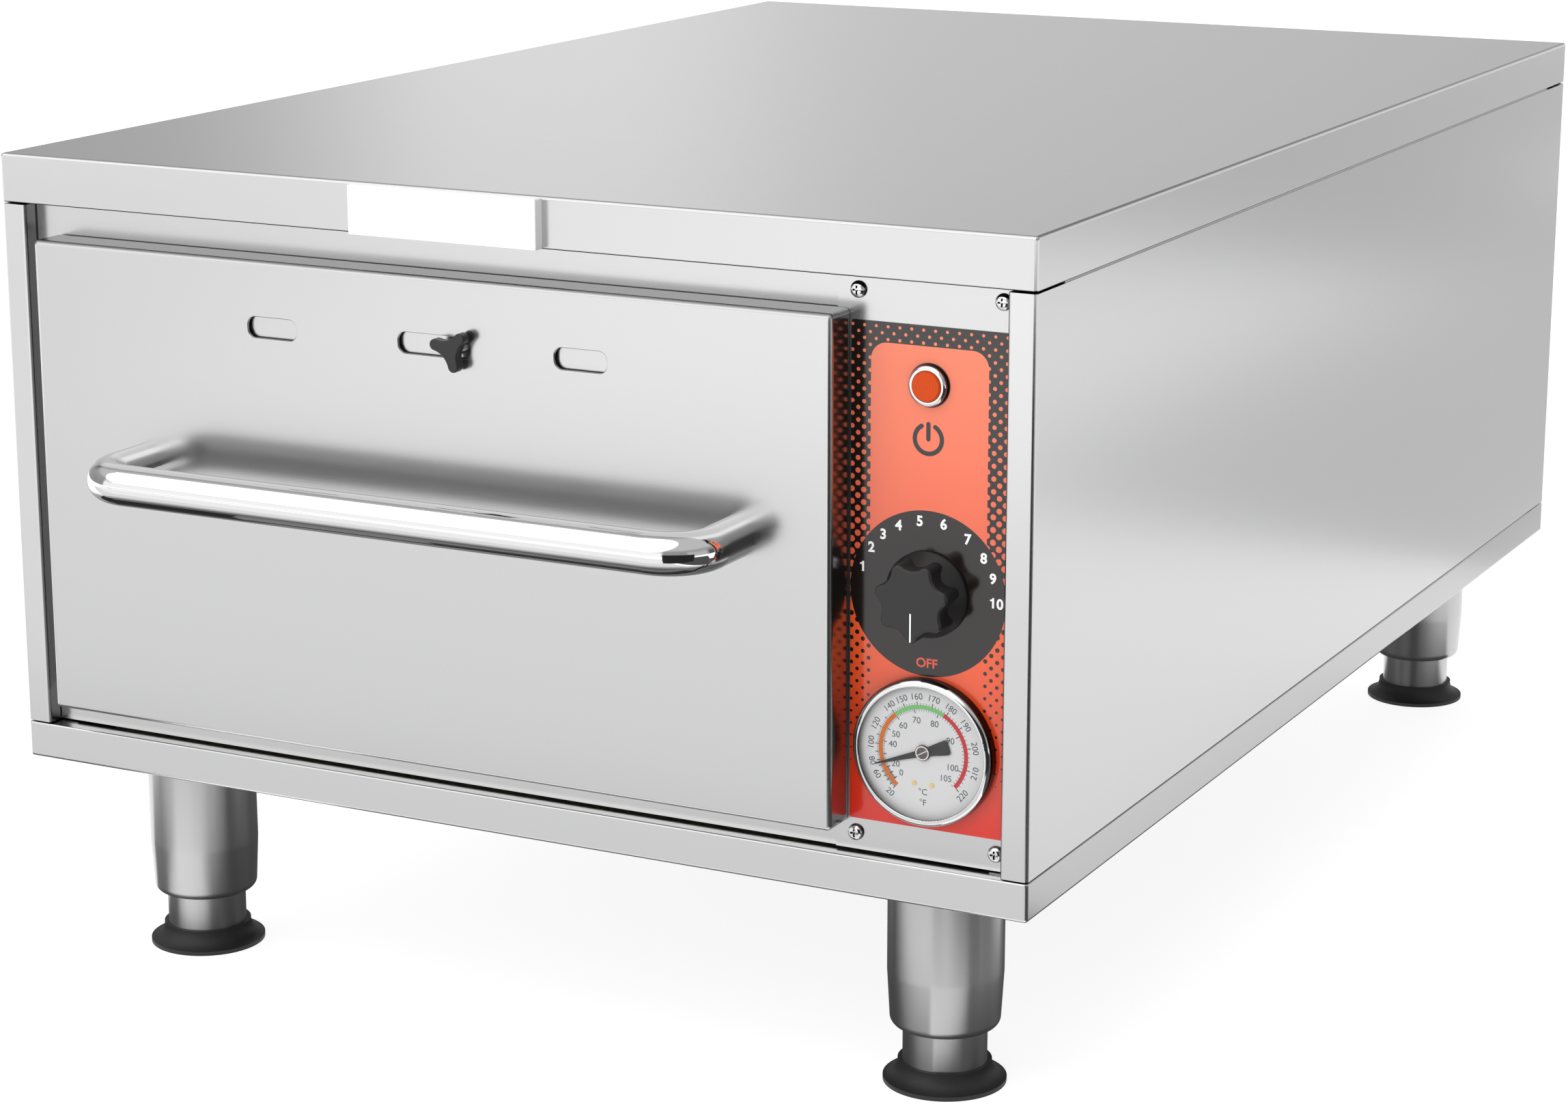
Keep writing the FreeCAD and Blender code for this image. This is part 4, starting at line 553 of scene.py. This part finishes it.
def print_loops(name, loops, back_y, thick, look, body, slot):
    """One piece of closed prisms, from outlines given counter-clockwise as the user sees them."""
    shape = bmesh.new()
    for loop in loops:
        front = [shape.verts.new((x, back_y - thick, z)) for x, z in loop]
        back = [shape.verts.new((x, back_y, z)) for x, z in loop]
        shape.faces.new(front)
        shape.faces.new(back[::-1])
        for index in range(len(loop)):
            after = (index + 1) % len(loop)
            shape.faces.new((front[after], front[index], back[index], back[after]))
    mesh = bpy.data.meshes.new(name)
    shape.to_mesh(mesh)
    shape.free()
    add_piece(name, mesh, look, body)


def polar(centre, radius, degrees):
    """Point at an angle around a centre, counter-clockwise from the right."""
    turn = math.radians(degrees)
    return centre[0] + radius * math.cos(turn), centre[1] + radius * math.sin(turn)


def arc(centre, radius, start, end, steps):
    """Points from one angle to another."""
    return [polar(centre, radius, start + (end - start) * index / steps) for index in range(steps + 1)]


def disc(centre, radius, steps):
    """Round outline."""
    return arc(centre, radius, 0, 360, steps)[:-1]


def band(centre, inner, outer, start, end, steps):
    """Ring sector, from its start angle counter-clockwise to its end angle."""
    return arc(centre, outer, start, end, steps) + arc(centre, inner, end, start, steps)


def lettering(name, words, height, centre, back_y, look, body, slot, tilt=0, weight=0.0):
    """Figures printed flat on the front, centred on a point and tilted counter-clockwise."""
    curve = bpy.data.curves.new(name, "FONT")
    curve.body = words
    curve.size = height / CAPITAL_HEIGHT
    curve.align_x = "CENTER"
    curve.offset = weight * height
    curve.extrude = PRINT / 2
    drawn = placed(name + "_text", curve)
    bpy.context.view_layer.update()
    mesh = bpy.data.meshes.new_from_object(drawn)
    bpy.data.objects.remove(drawn)
    mesh.name = name
    closed = bmesh.new()
    closed.from_mesh(mesh)
    bmesh.ops.remove_doubles(closed, verts=closed.verts, dist=WELD)
    closed.to_mesh(mesh)
    closed.free()
    turn = Euler((math.pi / 2, 0, 0)).to_matrix()
    spin = Euler((0, -math.radians(tilt), 0)).to_matrix()
    for vertex in mesh.vertices:
        flat = Vector((vertex.co.x, vertex.co.y - height / 2, vertex.co.z))
        vertex.co = spin @ (turn @ flat) + Vector((centre[0], back_y - PRINT / 2, centre[1]))
    add_piece(name, mesh, look, body)


def dot_places():
    """Staggered rows of dots, with one column to spare on each side of the film."""
    rows = int((DOTS_TOP - DOTS_BOTTOM) / (DOT_PITCH / 2))
    columns = int((OVERLAY_HIGH.x - OVERLAY_LOW.x) / DOT_PITCH)
    for row in range(rows + 1):
        z = DOTS_TOP - row * DOT_PITCH / 2
        shift = DOT_PITCH / 2 if row % 2 else 0.0
        for column in range(-1, columns + 2):
            yield OVERLAY_LOW.x + DOT_START + shift + column * DOT_PITCH, z


def clipped_dot(x, z, radius):
    """Dot outline that stops at the film's sides."""
    low, high = OVERLAY_LOW.x, OVERLAY_HIGH.x
    return [(min(max(u, low), high), v) for u, v in disc((x, z), radius, DOT_SIDES)]


def fade_dots():
    """Orange dots that grow downwards on the dark field, and dark ones that shrink on the orange field."""
    orange = []
    dark = []
    for x, z in dot_places():
        inside = OVERLAY_LOW.x - DOT_LAP < x < OVERLAY_HIGH.x + DOT_LAP
        beside = abs(x - SHAFT.x) > INSET_HALF - INSET_LAP
        under_disc = math.hypot(x - SHAFT.x, z - SHAFT.z) < DISC_RADIUS - DISC_LAP
        under_gauge = math.hypot(x - SHAFT.x, z - GAUGE.z) < (GAUGE_HIGH.x - GAUGE_LOW.x) / 2 - DOT_LAP
        if not inside or under_disc or under_gauge:
            continue
        if z > FIELD_Z and (beside or z > INSET_TOP - DOT_LAP):
            depth = (OVERLAY_HIGH.z - z) / (OVERLAY_HIGH.z - SHAFT.z)
            orange.append(clipped_dot(x, z, ORANGE_DOT + ORANGE_GROWTH * depth))
        elif z < FIELD_Z and beside:
            depth = (SHAFT.z - z) / (SHAFT.z - GAUGE.z)
            dark.append(clipped_dot(x, z, DARK_DOT - DARK_LOSS * depth))
    print_loops("film_orange_dots", orange, OVERLAY_Y, PRINT, "ink_orange", *FILM)
    print_loops("film_dark_dots", dark, OVERLAY_Y, PRINT, "ink_charcoal", *FILM)


def film_fields():
    """Orange inset around the power symbol, and the dark disc behind the thermostat knob."""
    left, right = SHAFT.x - INSET_HALF, SHAFT.x + INSET_HALF
    corner_z = INSET_TOP - INSET_CORNER
    inset = [(left, SHAFT.z), (right, SHAFT.z)]
    inset += arc((right - INSET_CORNER, corner_z), INSET_CORNER, 0, 90, CORNER_STEPS)
    inset += arc((left + INSET_CORNER, corner_z), INSET_CORNER, 90, 180, CORNER_STEPS)
    print_loops("film_inset", [inset], OVERLAY_Y, INSET_INK, "ink_orange", *FILM)
    print_loops("dial_disc", [disc((SHAFT.x, SHAFT.z), DISC_RADIUS, DISC_STEPS)], OVERLAY_Y, DISC_INK,
                "ink_charcoal", *FILM)


def power_symbol():
    """Open ring with round ends, and a bar from its middle up through the opening."""
    centre = (SHAFT.x - POWER_SHIFT, PILOT.z - POWER_DROP)
    half = POWER_STROKE / 2
    start, end = 90 + POWER_OPENING / 2, 450 - POWER_OPENING / 2
    ring = arc(centre, POWER_RADIUS + half, start, end, RING_STEPS)
    ring += arc(polar(centre, POWER_RADIUS, end), half, end, end + 180, END_STEPS)[1:-1]
    ring += arc(centre, POWER_RADIUS - half, end, start, RING_STEPS)
    ring += arc(polar(centre, POWER_RADIUS, start), half, start + 180, start + 360, END_STEPS)[1:-1]
    bar = arc(polar(centre, POWER_BAR, 90), half, 0, 180, END_STEPS) + arc(centre, half, 180, 360, END_STEPS)
    print_loops("power_symbol", [ring, bar], OVERLAY_Y - INSET_INK, PRINT, "ink_charcoal", *FILM)


def figure_one(x, z):
    """Outline of a 1 with its flag."""
    return [(x + u * NUMBER_HEIGHT, z + v * NUMBER_HEIGHT) for u, v in ONE_OUTLINE]


def dial_figures():
    """Numbers around the thermostat knob, with flagged ones and a 6 that is a turned 9, and OFF under it."""
    layer = OVERLAY_Y - DISC_INK
    for words, degrees in DIAL_NUMBERS.items():
        x, z = polar((SHAFT.x, SHAFT.z), NUMBER_RADIUS, degrees)
        if words.startswith("1"):
            one = figure_one(x - ONE_SHIFT * NUMBER_HEIGHT * (len(words) - 1), z)
            print_loops(f"dial_one_{words}", [one], layer, PRINT, "ink_white", *FILM)
            x += ZERO_SHIFT * NUMBER_HEIGHT
            words = words[1:]
        figure, tilt = ("9", 180) if words == "6" else (words, 0)
        if figure:
            lettering(f"dial_number_{words}", figure, NUMBER_HEIGHT, (x, z), layer, "ink_white", *FILM, tilt,
                      NUMBER_WEIGHT)
    lettering("dial_off", "OFF", OFF_HEIGHT, (SHAFT.x, SHAFT.z - OFF_DROP), layer, "ink_orange", *FILM,
              weight=OFF_WEIGHT)


# Thermometer face

def scale_angle(figures, value):
    """Angle of a scale value, between the figures on either side of it."""
    marks = sorted((float(words), degrees) for words, degrees in figures.items())
    for (low, at_low), (high, at_high) in zip(marks, marks[1:]):
        if low <= value <= high:
            return at_low + (at_high - at_low) * (value - low) / (high - low)
    return marks[-1][1]


def tick(centre, inner, outer, degrees, width):
    """Thin radial bar."""
    side = math.degrees(width / 2 / inner)
    return [polar(centre, inner, degrees - side), polar(centre, outer, degrees - side),
            polar(centre, outer, degrees + side), polar(centre, inner, degrees + side)]


def gauge_ticks():
    """Ticks outside the coloured bands for one scale and inside them for the other, long at every tenth value."""
    ticks = []
    for value in OUTER_SCALE:
        reach, width = (SHORT_REACH, SHORT_TICK) if value % 10 else (OUTER_REACH, LONG_TICK)
        degrees = scale_angle(OUTER_FIGURES, value)
        ticks.append(tick(FACE, BAND_OUTER, BAND_OUTER + reach, degrees, width))
    for value in INNER_SCALE:
        reach, width = (SHORT_REACH, SHORT_TICK) if value % 10 else (INNER_REACH, LONG_TICK)
        degrees = scale_angle(INNER_FIGURES, value)
        ticks.append(tick(FACE, BAND_INNER - reach, BAND_INNER, degrees, width))
    print_loops("gauge_ticks", ticks, DIAL_Y, PRINT, "ink_grey", *DIAL)


def gauge_print():
    """Bands, ticks, figures and units on the dial, and the rivets that hold it."""
    for name, (start, end) in BANDS.items():
        loop = band(FACE, BAND_INNER, BAND_OUTER, end, start, BAND_STEPS)
        print_loops(f"gauge_band_{name}", [loop], DIAL_Y, PRINT, f"band_{name}", *DIAL)
    gauge_ticks()
    for words, degrees in OUTER_FIGURES.items():
        upper = math.sin(math.radians(degrees)) > 0
        tilt = degrees - 90 if upper else degrees + 90
        lettering(f"gauge_outer_{words}", words, FIGURE_HEIGHT, polar(FACE, OUTER_RADIUS, degrees), DIAL_Y,
                  "ink_grey", *DIAL, tilt)
    for words, degrees in INNER_FIGURES.items():
        lettering(f"gauge_inner_{words}", words, FIGURE_HEIGHT, polar(FACE, INNER_RADIUS, degrees), DIAL_Y,
                  "ink_grey", *DIAL)
    for words, drop in UNIT_DROPS.items():
        lettering(f"gauge_unit_{words[-1]}", words, FIGURE_HEIGHT, (GAUGE.x, GAUGE.z - drop), DIAL_Y, "ink_grey",
                  *DIAL)
    for side, shift in RIVETS.items():
        rivet = disc((GAUGE.x + shift, GAUGE.z - RIVET_DROP), RIVET_RADIUS, RIVET_STEPS)
        print_loops(f"gauge_rivet_{side}", [rivet], DIAL_Y, RIVET_HEIGHT, "brass", *DIAL)


def needle_hub():
    """Slotted cap that holds the needle on its spindle."""
    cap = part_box("gauge_needle")[0].y
    rim = disc(FACE, HUB_RADIUS, HUB_STEPS)
    print_loops("needle_cap", [rim], cap, HUB_HEIGHT, "hub_rim", "gauge_needle", "bright_trim")
    face = disc(FACE, HUB_FACE, HUB_STEPS)
    print_loops("needle_cap_face", [face], cap - HUB_HEIGHT, PRINT, "hub_face", "gauge_needle", "needle_grey")
    slot = [polar(FACE, HUB_SLOT, degrees) for degrees in HUB_SLOT_CORNERS]
    print_loops("needle_cap_slot", [slot], cap - HUB_HEIGHT - PRINT, PRINT, "hub_rim", "gauge_needle", "bright_trim")


def pilot_dark_ring():
    """Thin black ring around the pilot's chromed ring, in two halves, that draws a dark outline round it."""
    low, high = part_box("pilot_housing")
    radius = (high.x - low.x) / 2
    halves = [band((PILOT.x, PILOT.z), radius, radius + DARK_RING_LIP, start, start + 180, DARK_RING_STEPS)
              for start in (0, 180)]
    print_loops("pilot_dark_ring", halves, OVERLAY_Y, DARK_RING_THICK, "black", "cabinet", "black_plastic")


def knob_pointer():
    """White line on the face of the thermostat knob, down to the lobe that points."""
    left, right = SHAFT.x - POINTER_HALF, SHAFT.x + POINTER_HALF
    loop = [(left, POINTER_BOTTOM), (right, POINTER_BOTTOM), (right, POINTER_TOP), (left, POINTER_TOP)]
    print_loops("knob_pointer", [loop], KNOB_LOW.y, PRINT, "ink_white", "thermostat_knob", "black_plastic")


# Studio

def build_floor():
    """Wide pale floor that glows, so that it stays white around the object."""
    shape = bmesh.new()
    bmesh.ops.create_grid(shape, x_segments=1, y_segments=1, size=FLOOR_HALF)
    mesh = bpy.data.meshes.new("floor")
    shape.to_mesh(mesh)
    shape.free()
    made = material("floor_white", (FLOOR_TONE, FLOOR_TONE, FLOOR_TONE), 0.0, FLOOR_ROUGHNESS)
    glow(made, WHITE, FLOOR_GLOW)
    mesh.materials.append(made)
    floor = placed("floor", mesh)


def ceiling_light():
    """Wide, even light from overhead that leaves soft shadows."""
    lamp = bpy.data.lights.new("ceiling", "SUN")
    lamp.energy = CEILING_ENERGY
    lamp.angle = math.radians(CEILING_SPREAD)
    thing = placed("ceiling", lamp)
    thing.rotation_euler = Vector(CEILING_AIM).to_track_quat("-Z", "Y").to_euler()


def card(name, corners, tone):
    """Flat card that only bright metal mirrors."""
    made = material(name, BLACK)
    shader_of(made).inputs["Specular IOR Level"].default_value = 0.0
    glow(made, WHITE, tone)
    mesh = bpy.data.meshes.new(name)
    mesh.from_pydata(corners, [], [(0, 1, 2, 3)])
    mesh.materials.append(made)
    thing = placed(name, mesh)
    thing.visible_camera = False
    thing.visible_diffuse = False
    thing.visible_shadow = False


def camera_card():
    """Dark card that stands on the floor in front of the object."""
    foot = [(*CARD_START, 0.0), (*CARD_END, 0.0)]
    head = [(*CARD_END, CARD_HEIGHT), (*CARD_START, CARD_HEIGHT)]
    card("camera_card", foot + head, CARD_TONE)


def floor_mats():
    """Cards that lie on the floor around the object."""
    for name, ((left, near), (right, far), tone) in MATS.items():
        corners = [(left, near, MAT_LIFT), (right, near, MAT_LIFT), (right, far, MAT_LIFT), (left, far, MAT_LIFT)]
        card(name, corners, tone)


def mirrored_walls(world, turn, height):
    """Colour of the walls by azimuth, low ones under high ones, and of the sky over them."""
    walls = node(world, "ShaderNodeMix", data_type="RGBA")
    for stops, target in ((LOW_WALL, "A"), (HIGH_WALL, "B")):
        around = [((degrees + 180) / 360, (tone, tone, tone)) for degrees, tone in stops]
        join(world, ramp(world, turn, around), walls.inputs[target])
    sky = node(world, "ShaderNodeMix", data_type="RGBA")
    sky.inputs["B"].default_value = (SKY, SKY, SKY, 1.0)
    join(world, walls.outputs["Result"], sky.inputs["A"])
    for blend, reach in ((walls, WALL_RISE), (sky, SKY_RISE)):
        join(world, rise(world, height, *reach).outputs["Result"], blend.inputs["Factor"])
    return sky.outputs["Result"]


def build_world():
    """White backdrop, fill from the left, and studio walls and sky that only bright metal mirrors."""
    world = bpy.data.worlds.new("studio")
    world.use_nodes = True
    where = node(world, "ShaderNodeTexCoord")
    turn = node(world, "ShaderNodeTexGradient", gradient_type="RADIAL")
    apart = node(world, "ShaderNodeSeparateXYZ")
    join(world, where.outputs["Generated"], turn.inputs["Vector"])
    join(world, where.outputs["Generated"], apart.inputs["Vector"])
    fill = world.node_tree.nodes["Background"]
    fill.inputs["Color"].default_value = (*WHITE, 1.0)
    across = rise(world, apart.outputs["X"], -1.0, 1.0)
    across.inputs["To Min"].default_value = FILL_LEFT
    across.inputs["To Max"].default_value = FILL_RIGHT
    join(world, across.outputs["Result"], fill.inputs["Strength"])
    mirrored = node(world, "ShaderNodeBackground")
    walls = mirrored_walls(world, turn.outputs["Fac"], apart.outputs["Z"])
    join(world, walls, mirrored.inputs["Color"])
    backdrop = node(world, "ShaderNodeBackground")
    backdrop.inputs["Color"].default_value = (*WHITE, 1.0)
    path = node(world, "ShaderNodeLightPath")
    seen = fill.outputs["Background"]
    for ray, layer in (("Is Glossy Ray", mirrored), ("Is Camera Ray", backdrop)):
        chosen = node(world, "ShaderNodeMixShader")
        join(world, path.outputs[ray], chosen.inputs["Fac"])
        join(world, seen, chosen.inputs[1])
        join(world, layer.outputs["Background"], chosen.inputs[2])
        seen = chosen.outputs["Shader"]
    join(world, seen, world.node_tree.nodes["World Output"].inputs["Surface"])
    bpy.context.scene.world = world


def build_camera():
    """Camera where the photograph was taken from."""
    optics = bpy.data.cameras.new("camera")
    optics.sensor_width = CAMERA_SENSOR
    optics.lens = CAMERA_LENS
    camera = placed("camera", optics)
    camera.location = CAMERA_PLACE
    camera.rotation_euler = [math.radians(degrees) for degrees in CAMERA_TURN]
    bpy.context.scene.camera = camera


dress_nodes()
fade_dots()
film_fields()
power_symbol()
dial_figures()
gauge_print()
needle_hub()
pilot_dark_ring()
knob_pointer()
build_floor()
build_world()
ceiling_light()
camera_card()
floor_mats()
build_camera()
bpy.context.scene.view_settings.view_transform = "Standard"
